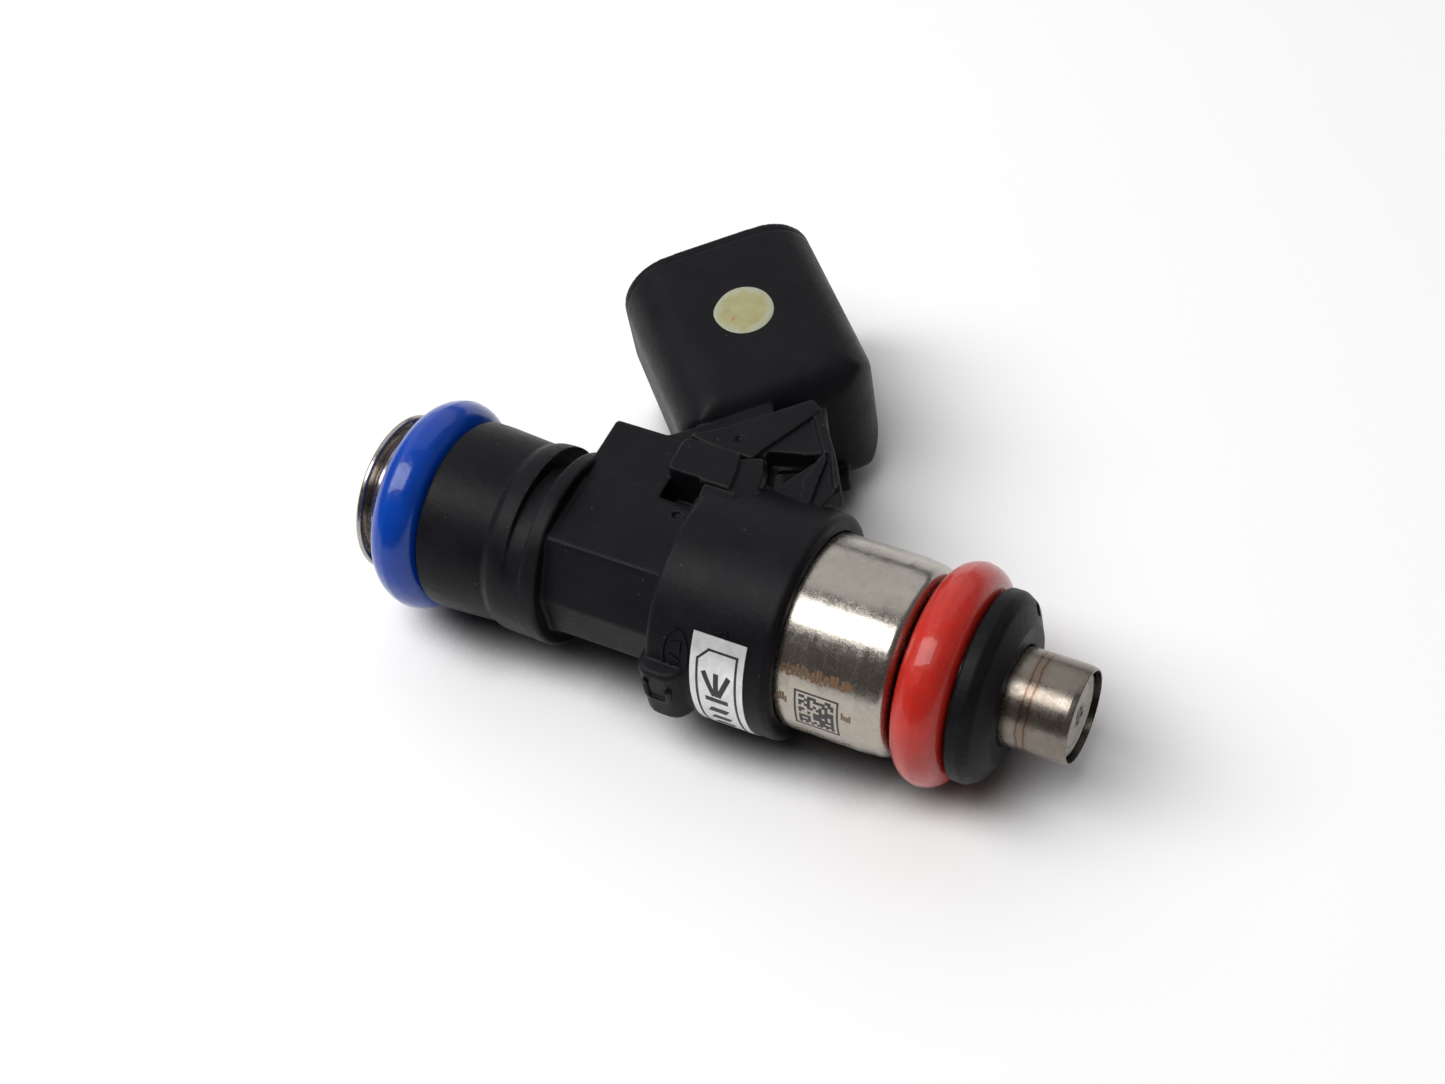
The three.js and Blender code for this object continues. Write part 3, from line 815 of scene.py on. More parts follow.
def root_features(side):
    """Backing, latch bar, cheek, ledge and web on one side of the root."""
    backing = [(-31.5, 2), (-31.5, 7.4), conn(9.6, 2.2), (-26.0, 12.4), (-24.3, 9.4), (-22.6, 5), (-22, 2)]
    return [
        raised("backing", backing, side, 3.5, 4.8, 0.1),
        raised("bar", [
            (-29.5, 4.3, 0.3), (-29.5, 7.0, 0.45), (-25.5, 7.0, 0.35), (-25.1, 5.6, 0.3), (-24.9, 4.1, 0.2),
            (-27.0, 4.1, 0.1),
        ], side, 3.2, 6.1, 0.3),
        raised("cheek", [
            (-25.4, 3.3), (-25.4, 6.75, 0.2), (-24.05, 7.35, 0.2), (-23.5, 6.1, 0.2), (-22.9, 3.3),
        ], side, 3.2, 5.85, 0.16),
        raised("ledge", [
            (-26.2, 3.4, 0.12), (-23.9, 3.4, 0.12), (-23.75, 2.2, 0.1), (-26.05, 2.2, 0.1),
        ], side, 5.0, 7.0, 0.12),
        raised("web", [
            (-29.9, 7.6, 0.2), (-28.9, 8.15, 1.2), (-27.5, 9.15, 1.5), (-23.35, 13.1, 0.3),
            (-22.35, 12.5, 0.3), (-24.55, 8.1, 0.3), (-24.95, 7.15, 0.3), (-26.8, 7.15, 0.6),
            (-28.4, 7.3, 0.6),
        ], side, 3.4, 5.55, 0.16),
    ]


def near_foot():
    """Forked foot on the +Z side: sloping facet, rib, and two legs that meet in a point."""
    deep = 3.2
    return [
        plate("facet", [
            (-24.9, 7.6), (-24.0, 12.2), (-22.4, 13.0), (-20.5, 9.5, 0.1), (-21.6, 9.05),
        ], deep, 5.2, 0.12),
        plate("rib", [
            (-23.2, 12.4, 0.2), (-22.35, 12.45, 0.3), (-20.15, 9.6, 0.2), (-20.85, 9.2, 0.2),
        ], deep, 5.42, 0.24),
        plate("slope", [
            (-22.9, 5.7), (-21.1, 9.2), (-20.6, 9.4), (-20.0, 4.5), (-22.7, 4.5),
        ], 2.6, 4.85, 0.12),
        plate("foot", [
            (-20.75, 9.45, 0.15), (-20.3, 9.6, 0.15), (-18.75, 7.15, 0.3), (-19.5, 4.7), (-20.4, 4.7),
        ], deep, 5.12, 0.12),
        plate("left_leg", [
            (-20.85, 9.45, 0.1), (-20.42, 9.0, 0.1), (-20.1, 6.6, 0.2), (-19.85, 4.9), (-20.6, 4.9),
            (-21.2, 6.9, 0.4),
        ], deep, 5.42, 0.2),
        plate("right_leg", [
            (-20.6, 9.7, 0.15), (-20.2, 9.7, 0.15), (-18.65, 7.25, 0.2), (-18.95, 6.85, 0.15), (-19.4, 7.5),
        ], deep, 5.4, 0.18),
    ]


def far_gusset():
    """Short plate under the shroud on the -Z side."""
    return plate("gusset", [
        (-27.0, 8.5), (-24.0, 13.8), conn(9.6, 12.7), (-22.15, 14.25, 0.2), (-23.9, 13.0, 0.3), (-25.0, 9.5),
    ], -5.1, -3.5, 0.15)


def bar_window(side):
    return raised("window", [
        (-29.3, 2.55, 0.15), (-29.3, 4.25, 0.1), (-27.0, 4.25), (-27.0, 2.55, 0.1),
    ], side, 2.9, 7.5, 0)


def root_cuts(side):
    """Window and slot under the latch bar, groove over it, relief round the cheek, and dimples."""
    cuts = [
        bar_window(side),
        raised("slot", [
            (-27.4, 3.42), (-27.4, 4.06), (-25.0, 4.04, 0.2), (-24.75, 3.42, 0.1),
        ], side, 3.6, 7.5, 0),
        raised("groove", [
            (-29.7, 7.06), (-30.0, 7.5, 0.1), (-27.3, 7.2, 0.3), (-25.2, 7.2, 0.1), (-25.3, 7.02),
        ], side, 4.4, 7.0, 0),
        raised("relief", [
            (-26.3, 3.4), (-26.3, 9), (-22.4, 9), (-22.9, 4.6, 0.4), (-24.1, 3.4, 0.1),
        ], side, 5.86, 9.0, 0),
    ]
    half = 0.28
    for x, y, deep in ((-26.35, 8.35, 5.35), (-27.45, 1.5, 5.15)):
        square = [(x + dx * half, y + dy * half, 0.2) for dx, dy in ((-1, -1), (1, -1), (1, 1), (-1, 1))]
        cuts.append(raised("dimple", square, side, deep, 7.0, 0))
    return cuts


def near_pocket():
    return plate("pocket", [
        (-24.4, 8.3, 0.3), (-21.2, 9.1, 0.3), (-23.05, 5.8, 0.3), (-23.7, 6.5, 0.3),
    ], 3.7, 7.0, 0)


def shroud_block():
    """Rounded block with soft back edges, a square mouth end and a fine line round the mouth."""
    depth = SHROUD_U[1] - SHROUD_U[0]
    width = SHROUD_V[1] - SHROUD_V[0]
    high = SHROUD_HALF_Z * 2
    spare = 4  # trimmed off at the mouth, so that only the back edges are soft
    over = depth + spare + 6
    across = plate("across", rounded_rectangle(width, high, SHROUD_CORNER), 0, depth + spare, 0, 14)
    stand = Matrix(((0, 0, 1, 0), (0, 1, 0, 0), (-1, 0, 0, over / 2), (0, 0, 0, 1)))
    side = plate("side", rounded_rectangle(over, high, 2.5), -width / 2, width / 2, 0, 12, stand)
    lay = Matrix(((1, 0, 0, 0), (0, 0, 1, 0), (0, -1, 0, over / 2), (0, 0, 0, 1)))
    plan = plate("plan", rounded_rectangle(width, over, 3.0), -high / 2, high / 2, 0, 12, lay)
    shroud = intersect(across, side, plan)
    soften(shroud, 0.2, 16, 60000)
    trim = plate("trim", rounded_rectangle(width + 1, high + 1, SHROUD_CORNER), -1, depth, 0, 14)
    intersect(shroud, trim)
    line_depth = 0.08
    outer = rounded_rectangle(width + 0.02, high + 0.02, SHROUD_CORNER)
    inner = rounded_rectangle(width - 2 * line_depth, high - 2 * line_depth, SHROUD_CORNER - line_depth)
    line = plate("line", outer, depth - 0.75, depth - 0.55, 0, 14)
    subtract(line, plate("line_core", inner, depth - 2, depth + 2, 0, 14))
    subtract(shroud, line)
    return moved(shroud, connector_matrix(SHROUD_U[0], SHROUD_MIDDLE_V))


def socket_cavity():
    width = SHROUD_V[1] - SHROUD_V[0] - SHROUD_WALL * 2
    high = SHROUD_HALF_Z * 2 - SHROUD_WALL * 2
    corner = SHROUD_CORNER - SHROUD_WALL
    depth = SHROUD_U[1] - SOCKET_FLOOR_U
    cavity = plate("cavity", rounded_rectangle(width, high, corner), 0, depth + 1, 0, 12)
    flare = 0.35
    mouth = rounded_rectangle(width + 2 * flare, high + 2 * flare, corner + flare)
    union(cavity, plate("mouth", mouth, depth - 0.9, depth + 1, 0, 12))
    ribs = []
    for side in (1, -1):
        for v in (-3.4, 3.4):
            z = sorted((side * (high / 2 - 0.55), side * (high / 2 + 0.5)))
            ribs.append(block("key", (v - 0.45, v + 0.45), z, (-0.5, depth - 3.5), 0.1))
    for z in (-TERMINAL_Z, TERMINAL_Z):
        v = SHROUD_MIDDLE_V - TERMINAL_V
        ribs.append(block("pin_seat", (v - 0.85, v + 0.85), (z - 1.35, z + 1.35), (-0.5, 1.0), 0.2))
    subtract(cavity, *ribs)
    return moved(cavity, connector_matrix(SOCKET_FLOOR_U, SHROUD_MIDDLE_V))


def clip_groove():
    x0, x1 = GROOVE_X
    floor = rod("groove_floor", x0 - 1, x1 + 1, GROOVE_FLOOR_R)
    moved(floor, Matrix.Translation((0, GROOVE_SHIFT_Y, 0)))
    return subtract(rod("groove_outer", x0, x1, 9), floor)


def lug():
    return plate("lug", [
        (-26.15, -4.5), (-26.15, LUG_END_Y, 1.1), (-23, LUG_END_Y, 1.2), (-23, -4.5),
    ], -LUG_HALF_Z, LUG_HALF_Z, 0.35)


def housing():
    """The whole black overmould: neck, clip groove, connector root, shroud, body and lug."""
    body = housing_turned()
    sides = (1, -1)
    bars = []
    webs = []
    for side in sides:
        backing, bar, cheek, ledge, web = root_features(side)
        bars.append(bar)
        webs += [backing, cheek, ledge, web]
    union(body, neck_prism(), root_core(), *webs)
    for side in sides:
        subtract(body, *root_cuts(side))
    union(body, shroud_block(), lug(), far_gusset(), *near_foot(), *bars)
    subtract(body, clip_groove(), socket_cavity(), near_pocket())
    subtract(body, *[bar_window(side) for side in sides])
    subtract(body, rod("tube_bore", -60, -10, TUBE_R + CLEAR))
    subtract(body, rod("shell_bore", SHELL_LOW[0], -10, SHELL_R + CLEAR))
    soften(body, SKIN_VOXEL, 3, SKIN_TRIANGLES)
    mark_edges(body)
    body.name = "housing"
    return body


housing_material = moulded_plastic("housing_plastic", (0.0058, 0.0056, 0.0074), (0.022, 0.022, 0.023), 0.43)
finished(housing(), housing_material, "housing_plastic", "body", "overmold_housing")


# ---------------------------------------------------------------- small moulded marks
def housing_marks():
    """Raised oval cavity mark, and a short corner mark above the label."""
    r = BODY_R + 0.1
    centre_x, centre_a, wide, tall = -23.7, 25.5, 0.85, 13.0
    turns = np.linspace(0, 2 * math.pi, 25)
    ring = [(centre_x + wide * math.cos(t), centre_a + tall * math.sin(t)) for t in turns]
    outlines = drum_stroke(ring, 0.2, r)
    for hook in (((-0.35, 5), (0.3, 7), (0.3, 1)), ((-0.35, -1), (0.3, -3), (-0.3, -7))):
        outlines += drum_stroke([(centre_x + x, centre_a + a) for x, a in hook], 0.15, r)
    outlines += drum_stroke([(-21.1, 42.6), (-20.5, 44.6), (-20.35, 41.8)], 0.15, r)
    return drum_marks("housing_marks", outlines, BODY_R - 0.1, r)


finished(housing_marks(), housing_material, "housing_plastic", "body")


def lug_rib():
    """Raised U on the lug's end face."""
    corners = [(-25.4, 1.9, 0.4), (-25.4, -0.2, 0.4), (-23.95, -0.2, 0.4), (-23.75, 1.0, 0.4)]
    open_u = filleted(corners)[3:-3]
    return tube_along("lug_rib", [(x, LUG_END_Y + 0.05, z) for x, z in open_u], 0.22)


finished(lug_rib(), housing_material, "housing_plastic", "body")


# ---------------------------------------------------------------- paint dot
DOT_PLACE = conn(16.81, 8.85)
DOT_R = 2.05


def paint_dot():
    rng = random.Random(7)
    phases = [rng.uniform(0, 2 * math.pi) for _ in range(5)]
    rings = [(0.0, 0.055), (0.5, 0.055), (0.82, 0.05), (0.94, 0.04), (1.0, 0.0), (1.0, -0.08)]
    sides = 96
    vertices = [(*DOT_PLACE, SHROUD_HALF_Z + 0.055)]
    faces = []
    for share, high in rings[1:]:
        for k in range(sides):
            angle = 2 * math.pi * k / sides
            ragged = 1 + sum(0.018 / (i + 1) * math.cos((i + 2) * angle + phases[i]) for i in range(5))
            reach = DOT_R * share * (1 + (ragged - 1) * share)
            x = DOT_PLACE[0] + reach * math.cos(angle)
            y = DOT_PLACE[1] + reach * math.sin(angle)
            vertices.append((x, y, SHROUD_HALF_Z + high))
    for k in range(sides):
        faces.append([0, 1 + k, 1 + (k + 1) % sides])
    for row in range(len(rings) - 2):
        a = 1 + row * sides
        b = a + sides
        for k in range(sides):
            n = (k + 1) % sides
            faces.append([a + k, b + k, b + n, a + n])
    last = 1 + (len(rings) - 2) * sides
    faces.append([last + k for k in range(sides)])
    return add_object("paint_dot", vertices, faces, 60)


finished(paint_dot(), dot_paint(), "label_film", "body")


# ---------------------------------------------------------------- steel tube, shell and nozzle
def valve_tube():
    lip_r = box_mm("valve_tube")[1][1]
    return lathe("valve_tube_drawn", [
        (INLET_X + 1.6, TUBE_BORE, 0.3), (INLET_X + 0.5, 3.5, 0.5), (INLET_X, 4.3, 0.25),
        (INLET_X, lip_r, 0.22), (INLET_X + 0.45, lip_r, 0.2), (INLET_X + 0.45, 4.35, 0.25), (INLET_X + 1.25, 4.1, 0.25),
        (INLET_X + 1.3, 4.75, 0.2), (INLET_X + 1.75, 4.75, 0.2), (INLET_X + 1.85, TUBE_R, 0.15),
        (TUBE_END_X, TUBE_R, 0.2), (TUBE_END_X, TUBE_BORE, 0.2),
    ], FINE_TURNED, 6)


def magnet_shell():
    x0 = SHELL_LOW[0]
    wall = 0.6
    r = SHELL_R
    end = SHELL_END_X
    return lathe("magnet_shell_drawn", [
        (x0, r - wall, 0.1), (x0, r, 0.15), (end - 1.95, r, 0.6), (end - 1.55, r - 0.06, 0.4),
        (end - 0.05, r - 0.18, 1.15), (end, TUBE_R + CLEAR, 0.15), (end - wall, TUBE_R + CLEAR, 0.1),
        (end - wall, r - wall, 0.8),
    ], FINE_TURNED, 10)


def nozzle_sleeve():
    def seam(x, r, angle):
        dip = sum(math.exp(-((x - station) / 0.06) ** 2) for station in WELD_X)
        return -0.03 * dip if r > 3.1 else 0.0

    (x0, _, _), (x1, _, _) = box_mm("nozzle_sleeve")
    outer = [(x0, NOZZLE_R, 0.1)]
    outer += [(x0 + 0.25 + (x1 - x0 - 0.9) * i / 60, NOZZLE_R) for i in range(61)]
    profile = [(x0, 2.83, 0.1)] + outer + [
        (x1 - 0.35, NOZZLE_R - 0.02, 0.2), (x1, NOZZLE_R - 0.12, 0.08),
        (x1, 2.92, 0.04), (x1 - 0.75, 2.83, 0.05),
    ]
    return lathe("nozzle_sleeve_drawn", profile, FINE_TURNED, 6, 32, seam)


def spray_plate():
    """Thin domed disc with four small orifices around a centre dimple."""
    (x0, _, _), (x1, _, r) = box_mm("spray_plate")
    disc = lathe("spray_disc", [
        (x0, 0), (x0, r, 0.03), (x1 - 0.06, r, 0.03), (x1 - 0.02, r - 0.35, 0.2), (x1 - 0.1, r - 0.55, 0.15),
        (x1 - 0.02, r - 0.8, 0.2), (x1 - 0.02, 0.95, 0.1), (x1, 0.75, 0.1), (x1 - 0.05, 0),
    ], TURNED, 5)
    holes = []
    for k in range(4):
        angle = math.pi / 4 + k * math.pi / 2
        hole = rod("hole", x0 - 1, x1 + 1, 0.14, 24)
        holes.append(moved(hole, Matrix.Translation((0, 0.5 * math.cos(angle), 0.5 * math.sin(angle)))))
    subtract(disc, *holes)
    shade(disc)
    return disc


def plate_steel():
    """Fine-grained steel with a dark sooty mark round the orifices, and painted shade round the disc's edge inside the
    sleeve's rim.
    """
    f = Finish("plate_steel", (0.55, 0.52, 0.46), 0.42, 0.85)
    soot_edge = f.spread(f.noise(3.2, 4, 0.7), 0.3, 0.7, -0.45, 0.35)
    soot = f.spread(f.maths("ADD", f.radius(), soot_edge), 0.85, 0.45, smooth=True)
    cloud = f.noise(1.5, 4, 0.6)
    tone = f.blend(f.spread(cloud, 0.3, 0.7), (0.27, 0.25, 0.22), (0.38, 0.355, 0.315))
    ring = f.band(f.radius(), 1.95, 2.15, 0.06)
    tone = f.blend(f.maths("MULTIPLY", ring, 0.45), tone, (0.2, 0.18, 0.16))
    # painted shade: the disc's outer edge, sunk inside the sleeve's rim, is coloured near black
    outer = f.spread(f.radius(), 2.5, 2.66)
    tone = f.blend(f.maths("MULTIPLY", outer, 0.85), tone, (0.03, 0.028, 0.025))
    f.colour(f.blend(f.maths("MULTIPLY", soot, 0.9), tone, (0.035, 0.03, 0.028)))
    f.rough(f.spread(f.noise(6.0, 4), 0.3, 0.7, 0.34, 0.52))
    f.raise_by(f.noise(5.0, 4), 0.01)
    return f.material


tube_material = drawn_steel("tube_steel", (0.42, 0.39, 0.355), 0.19)
finished(valve_tube(), tube_material, "tube_steel", "body", "valve_tube")
shell_material = drawn_steel("shell_steel", (0.41, 0.38, 0.34), 0.2, shell_tint)
finished(magnet_shell(), shell_material, "shell_steel", "body", "magnet_shell")
nozzle_material = drawn_steel("nozzle_steel", (0.215, 0.19, 0.163), 0.27, weld_tint_and_bore_shade)
finished(nozzle_sleeve(), nozzle_material, "nozzle_steel", "body", "nozzle_sleeve")
finished(spray_plate(), plate_steel(), "plate_steel", "body", "spray_plate")


# ---------------------------------------------------------------- etched marks on the shell
def etched_line():
    """A row of brown ticks that stands for the line of etched characters."""
    rng = random.Random(11)
    outlines = []
    x = -17.0
    while x < -12.5:
        wide = rng.uniform(0.16, 0.36)
        low = 29.0 + rng.uniform(0, 2.6)
        high = 38.0 - rng.uniform(0, 2.2)
        outlines.append(drum_bar(x, x + wide * 0.5, low, high))
        foot = rng.choice((low, high - 1.6))
        head = rng.choice((low + 1.6, high))
        outlines.append(drum_bar(x + wide * 0.5, x + wide, foot, head))
        x += wide + rng.uniform(0.05, 0.1)
    return outlines


def etched_side_marks():
    """Two short marks beside the square and a row of ticks below it."""
    rng = random.Random(5)
    outlines = []
    for x0, a0 in ((-17.15, 10.5), (-12.85, 10.0)):
        for k in range(4):
            low = a0 + rng.uniform(0, 1.5)
            outlines.append(drum_bar(x0 + 0.17 * k, x0 + 0.17 * k + 0.13, low, low + rng.uniform(3, 6)))
    for k in range(16):
        x = -16.6 + 0.26 * k
        low = -20.0 + rng.uniform(0, 2)
        outlines.append(drum_bar(x, x + rng.uniform(0.08, 0.18), low, low + rng.uniform(2.0, 5.0)))
    return outlines


def etched_square():
    """A square of random dark cells, like a machine-read mark but with no data."""
    rng = random.Random(3)
    x0, x1, a0, a1 = -15.7, -13.35, -2.5, 20.0
    cells = 12
    outlines = []
    for i in range(cells):
        for k in range(cells):
            if rng.random() < 0.62:
                x = x0 + (x1 - x0) * i / cells
                a = a0 + (a1 - a0) * k / cells
                outlines.append(drum_bar(x, x + (x1 - x0) / cells, a, a + (a1 - a0) / cells))
    return outlines


def etched_frame():
    corners = [(-15.95, -4.5), (-13.1, -4.5), (-13.1, 22.0), (-15.95, 22.0), (-15.95, -4.5)]
    return drum_stroke(corners, 0.13, SHELL_R)


brown_etch = ink("brown_etch", (0.15, 0.075, 0.028), 0.5)
dark_etch = ink("dark_etch", (0.03, 0.028, 0.028), 0.5)
MARK_R = (SHELL_R - 0.05, SHELL_R + 0.012)
etched_ticks = drum_marks("etched_ticks", etched_line() + etched_side_marks(), *MARK_R)
finished(etched_ticks, brown_etch, "shell_steel", "body")
etched_cells = drum_marks("etched_cells", etched_square() + etched_frame(), *MARK_R)
finished(etched_cells, dark_etch, "shell_steel", "body")


# ---------------------------------------------------------------- label
LABEL_X = (-22.6, -18.95)
LABEL_A = (-41.0, 41.0)
LABEL_R = 7.6


def label_film():
    return drum_marks("label_printed", [drum_bar(*LABEL_X, *LABEL_A)], BODY_R - 0.02, LABEL_R - 0.04)


def label_print():
    """Generic print: a frame with two cut corners, three jets, a bar and three slanted bars."""
    r = LABEL_R - 0.04
    x0, x1 = LABEL_X[0] + 0.5, LABEL_X[1] - 0.5
    frame_line = [(x0, -33), (x0, 28), (x0 + 0.7, 34), (x1, 34), (x1, -28), (x1 - 0.7, -33), (x0, -33)]
    outlines = drum_stroke(frame_line, 0.16, r)
    for lean in (-0.55, 0.0, 0.55):
        middle = (x0 + x1) / 2
        outlines += drum_stroke([(middle + lean * 0.35, 9), (middle + lean * 1.5, 21)], 0.34, r)
    outlines.append(drum_bar(x0 + 0.55, x1 - 0.55, 3.5, 6.5))
    for low in (-5.5, -13.5, -21.5):
        outlines.append(drum_bar(x0 + 0.55, x1 - 0.85, low, low + 4, 0.3))
    return drum_marks("label_print", outlines, r - 0.02, LABEL_R - 0.025)


finished(label_film(), label_silver(), "label_film", "body", "label")
finished(label_print(), ink("label_ink", (0.012, 0.012, 0.014), 0.35), "label_film", "body")


# ---------------------------------------------------------------- O-rings and retainer
def o_ring(name, node):
    """Round-section ring, slightly uneven, with a fine moulding ridge round its outside."""
    ridge = 0.03
    low, high = box_mm(node)
    middle = (low[0] + high[0]) / 2
    section = (high[0] - low[0]) / 2
    centre_r = high[1] - section
    rng = random.Random(name)
    phases = [rng.uniform(0, 6.28) for _ in range(8)][::2]

    def uneven(x, r, angle):
        wave = sum(0.018 * math.sin((i + 2) * angle + phase) for i, phase in enumerate(phases))
        return wave * (r - centre_r + section) / section / 2

    steps = 72
    profile = []
    for k in range(steps):
        turn = 2 * math.pi * k / steps
        flash = ridge * math.exp(-((math.sin(turn) - 1) / 0.004) ** 2)
        reach = section - 0.02 - ridge + flash
        profile.append((middle + reach * math.cos(turn), centre_r + reach * math.sin(turn)))
    return lathe(name, profile, FINE_TURNED, 6, 60, uneven)


def retainer():
    """Black ring with a long front chamfer and one small notch."""
    (x0, _, _), (x1, _, r) = box_mm("lower_retainer")
    inner = NOZZLE_R + CLEAR
    ring = lathe("lower_retainer_moulded", [
        (x0, TUBE_R + 0.1, 0.1), (x0, r, 0.25), (x1 - 1.4, r, 0.5), (x1 - 0.75, r - 0.35, 0.5),
        (x1, 4.45, 0.35), (x1, inner, 0.2), (TUBE_END_X + 0.1, inner), (TUBE_END_X + 0.1, TUBE_R + 0.1),
    ], FINE_TURNED, 8)
    notch = block("notch", (x1 - 0.8, x1 + 1), (5.0, 8.0), (-0.5, 0.5), 0.15)
    subtract(ring, moved(notch, Matrix.Rotation(math.radians(26), 4, "X")))
    shade(ring)
    return ring


blue_material = rubber("blue_rubber", (0.0005, 0.050, 0.37), (0.0004, 0.040, 0.31), 0.17)
red_material = rubber("red_rubber", (0.50, 0.022, 0.013), (0.42, 0.017, 0.010), 0.18, (0.20, 0.012, 0.008))
retainer_material = moulded_plastic(
    "retainer_plastic", (0.0052, 0.0050, 0.0062), (0.030, 0.030, 0.033), 0.42, 0.4,
)
upper_ring = o_ring("upper_o_ring_moulded", "upper_o_ring")
finished(upper_ring, blue_material, "blue_rubber", "body", "upper_o_ring")
lower_ring = o_ring("lower_o_ring_moulded", "lower_o_ring")
finished(lower_ring, red_material, "red_rubber", "body", "lower_o_ring")
finished(retainer(), retainer_material, "retainer_plastic", "body", "lower_retainer")


# ---------------------------------------------------------------- terminals and leads
def terminal(name, z):
    """Tin-plated blade with a chamfered tip, bent from the coil to the socket."""
    half = 0.75
    thick = 0.3
    tip = 19.5
    chamfer = 1.1
    blade = plate(name, [
        (-half, 9.0), (half, 9.0), (half, tip - chamfer, 0.3), (half * 0.5, tip, 0.15),
        (-half * 0.5, tip, 0.15), (-half, tip - chamfer, 0.3),
    ], -thick, thick, 0.1, 4)
    stand = Matrix(((1, 0, 0, 0), (0, 0, 1, 0), (0, 1, 0, 0), (0, 0, 0, 1)))
    moved(blade, stand)
    moved(blade, connector_matrix(0, TERMINAL_V))
    high, low = TERMINAL_V + half, TERMINAL_V - half
    knee = plate("knee", [
        (-27.35, 5.3), (-25.85, 5.3), (-25.85, 8.2), conn(8.2, high), conn(9.4, high),
        conn(9.4, low), conn(7.8, low), (-27.35, 8.6),
    ], -thick, thick, 0.06)
    union(blade, knee)
    moved(blade, Matrix.Translation((0, 0, z)))
    shade(blade)
    return blade


tin_material = plain_metal("tin_plated", (0.66, 0.64, 0.60), 0.26, 7.0)
finished(terminal("terminal_left_blade", TERMINAL_Z), tin_material, "tin_plated", "body", "terminal_left")
finished(terminal("terminal_right_blade", -TERMINAL_Z), tin_material, "tin_plated", "body", "terminal_right")


# ---------------------------------------------------------------- sealed inner pieces
def turned_twin(name, node, bore, slot, material, fillet=0.12, body="body"):
    """A finely turned sleeve in the place of a plain CAD sleeve."""
    low, high = box_mm(node)
    piece = lathe(name, tube_profile(low[0], high[0], bore, high[1], fillet), 96, 4)
    return finished(piece, material, slot, body, node)


def coil_winding():
    (x0, _, _), (x1, _, r) = box_mm("coil_winding")
    turns = 44
    pitch = (x1 - x0) / turns
    profile = [(x0, 4.38), (x0, r - 0.12)]
    for k in range(turns):
        for share, high in ((0.15, 0.05), (0.5, 0.0), (0.85, 0.05), (1.0, 0.12)):
            profile.append((x0 + (k + share) * pitch, r - high))
    profile.append((x1, 4.38))
    return lathe("coil_winding_wound", profile, 96, 2, 60)


def coil_bobbin():
    (x0, _, _), (x1, _, r) = box_mm("coil_bobbin")
    return lathe("coil_bobbin_moulded", [
        (x0, TUBE_R + 0.08), (x0, r, 0.15), (x0 + 0.6, r, 0.1), (x0 + 0.6, 4.3, 0.1),
        (x1 - 0.6, 4.3, 0.1), (x1 - 0.6, r, 0.1), (x1, r, 0.15), (x1, TUBE_R + 0.08),
    ], 96, 4)


def return_spring():
    """Round-wire helix with closed ends."""
    (x0, _, _), (x1, _, r) = box_mm("return_spring")
    wire = 0.15
    turns = 9
    points = []
    count = turns * 28
    for k in range(count + 1):
        share = k / count
        angle = 2 * math.pi * turns * share
        eased = share - 0.035 * math.sin(2 * math.pi * share)
        x = x0 + wire + (x1 - x0 - 2 * wire) * eased
        points.append((x, (r - wire) * math.cos(angle), (r - wire) * math.sin(angle)))
    return tube_along("return_spring_wire", points, wire, 10)


def armature():
    (x0, _, _), (x1, _, r) = box_mm("armature")
    return lathe("armature_turned", [
        (x0, 1.55, 0.08), (x0, r, 0.2), (x0 + 1.0, r, 0.1), (x0 + 1.1, r - 0.12, 0.1),
        (x1 - 1.1, r - 0.12, 0.1), (x1 - 1.0, r, 0.1), (x1, r, 0.25), (x1, 1.25, 0.1), (x0 + 1.2, 1.25, 0.05),
        (x0 + 1.2, 1.55, 0.05),
    ], 96, 4)


def valve_ball():
    low, high = box_mm("valve_ball")
    middle = (low[0] + high[0]) / 2
    r = (high[0] - low[0]) / 2
    profile = [(middle - r * math.cos(math.pi * k / 40), r * math.sin(math.pi * k / 40)) for k in range(41)]
    profile[0] = (middle - r, 0)
    profile[-1] = (middle + r, 0)
    return lathe("valve_ball_ground", profile, 72, 2, 60)


magnetic_material = plain_metal("magnetic_steel", (0.42, 0.41, 0.40), 0.34)
brass_material = plain_metal("brass", (0.60, 0.42, 0.16), 0.3)
valve_material = plain_metal("valve_steel", (0.70, 0.69, 0.67), 0.16, 9.0)
spring_material = plain_metal("spring_steel", (0.50, 0.50, 0.50), 0.28)
bobbin_material = moulded_plastic("bobbin_plastic", (0.05, 0.05, 0.055), (0.12, 0.12, 0.12), 0.5, 0.1)
filter_material = moulded_plastic("filter_plastic", (0.42, 0.40, 0.36), (0.5, 0.48, 0.44), 0.5, 0.1)
copper_material = wound_copper()

finished(coil_winding(), copper_material, "copper_wire", "body", "coil_winding")
finished(coil_bobbin(), bobbin_material, "bobbin_plastic", "body", "coil_bobbin")
finished(armature(), magnetic_material, "magnetic_steel", "needle", "armature")
finished(valve_ball(), valve_material, "valve_steel", "needle", "valve_ball")
turned_twin("needle_tube_drawn", "needle_tube", 0.75, "valve_steel", valve_material, 0.08, "needle")
turned_twin("adjusting_sleeve_turned", "adjusting_sleeve", 0.9, "brass", brass_material)
turned_twin("filter_collar_turned", "filter_collar", 2.7, "brass", brass_material)
turned_twin("pole_core_turned", "pole_core", 1.6, "magnetic_steel", magnetic_material)

spring = finished(return_spring(), spring_material, "spring_steel", "body", "return_spring")
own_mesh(spring)

CARRIED_OVER = {
    "flux_washer": magnetic_material,
    "valve_seat": valve_material,
    "filter_cage": filter_material,
    "filter_screen": woven_mesh(),
    "coil_lead_left": copper_material,
    "coil_lead_right": copper_material,
}
for node, material in CARRIED_OVER.items():
    mesh = frame["nodes"][node].data
    mesh.materials.clear()
    mesh.materials.append(material)


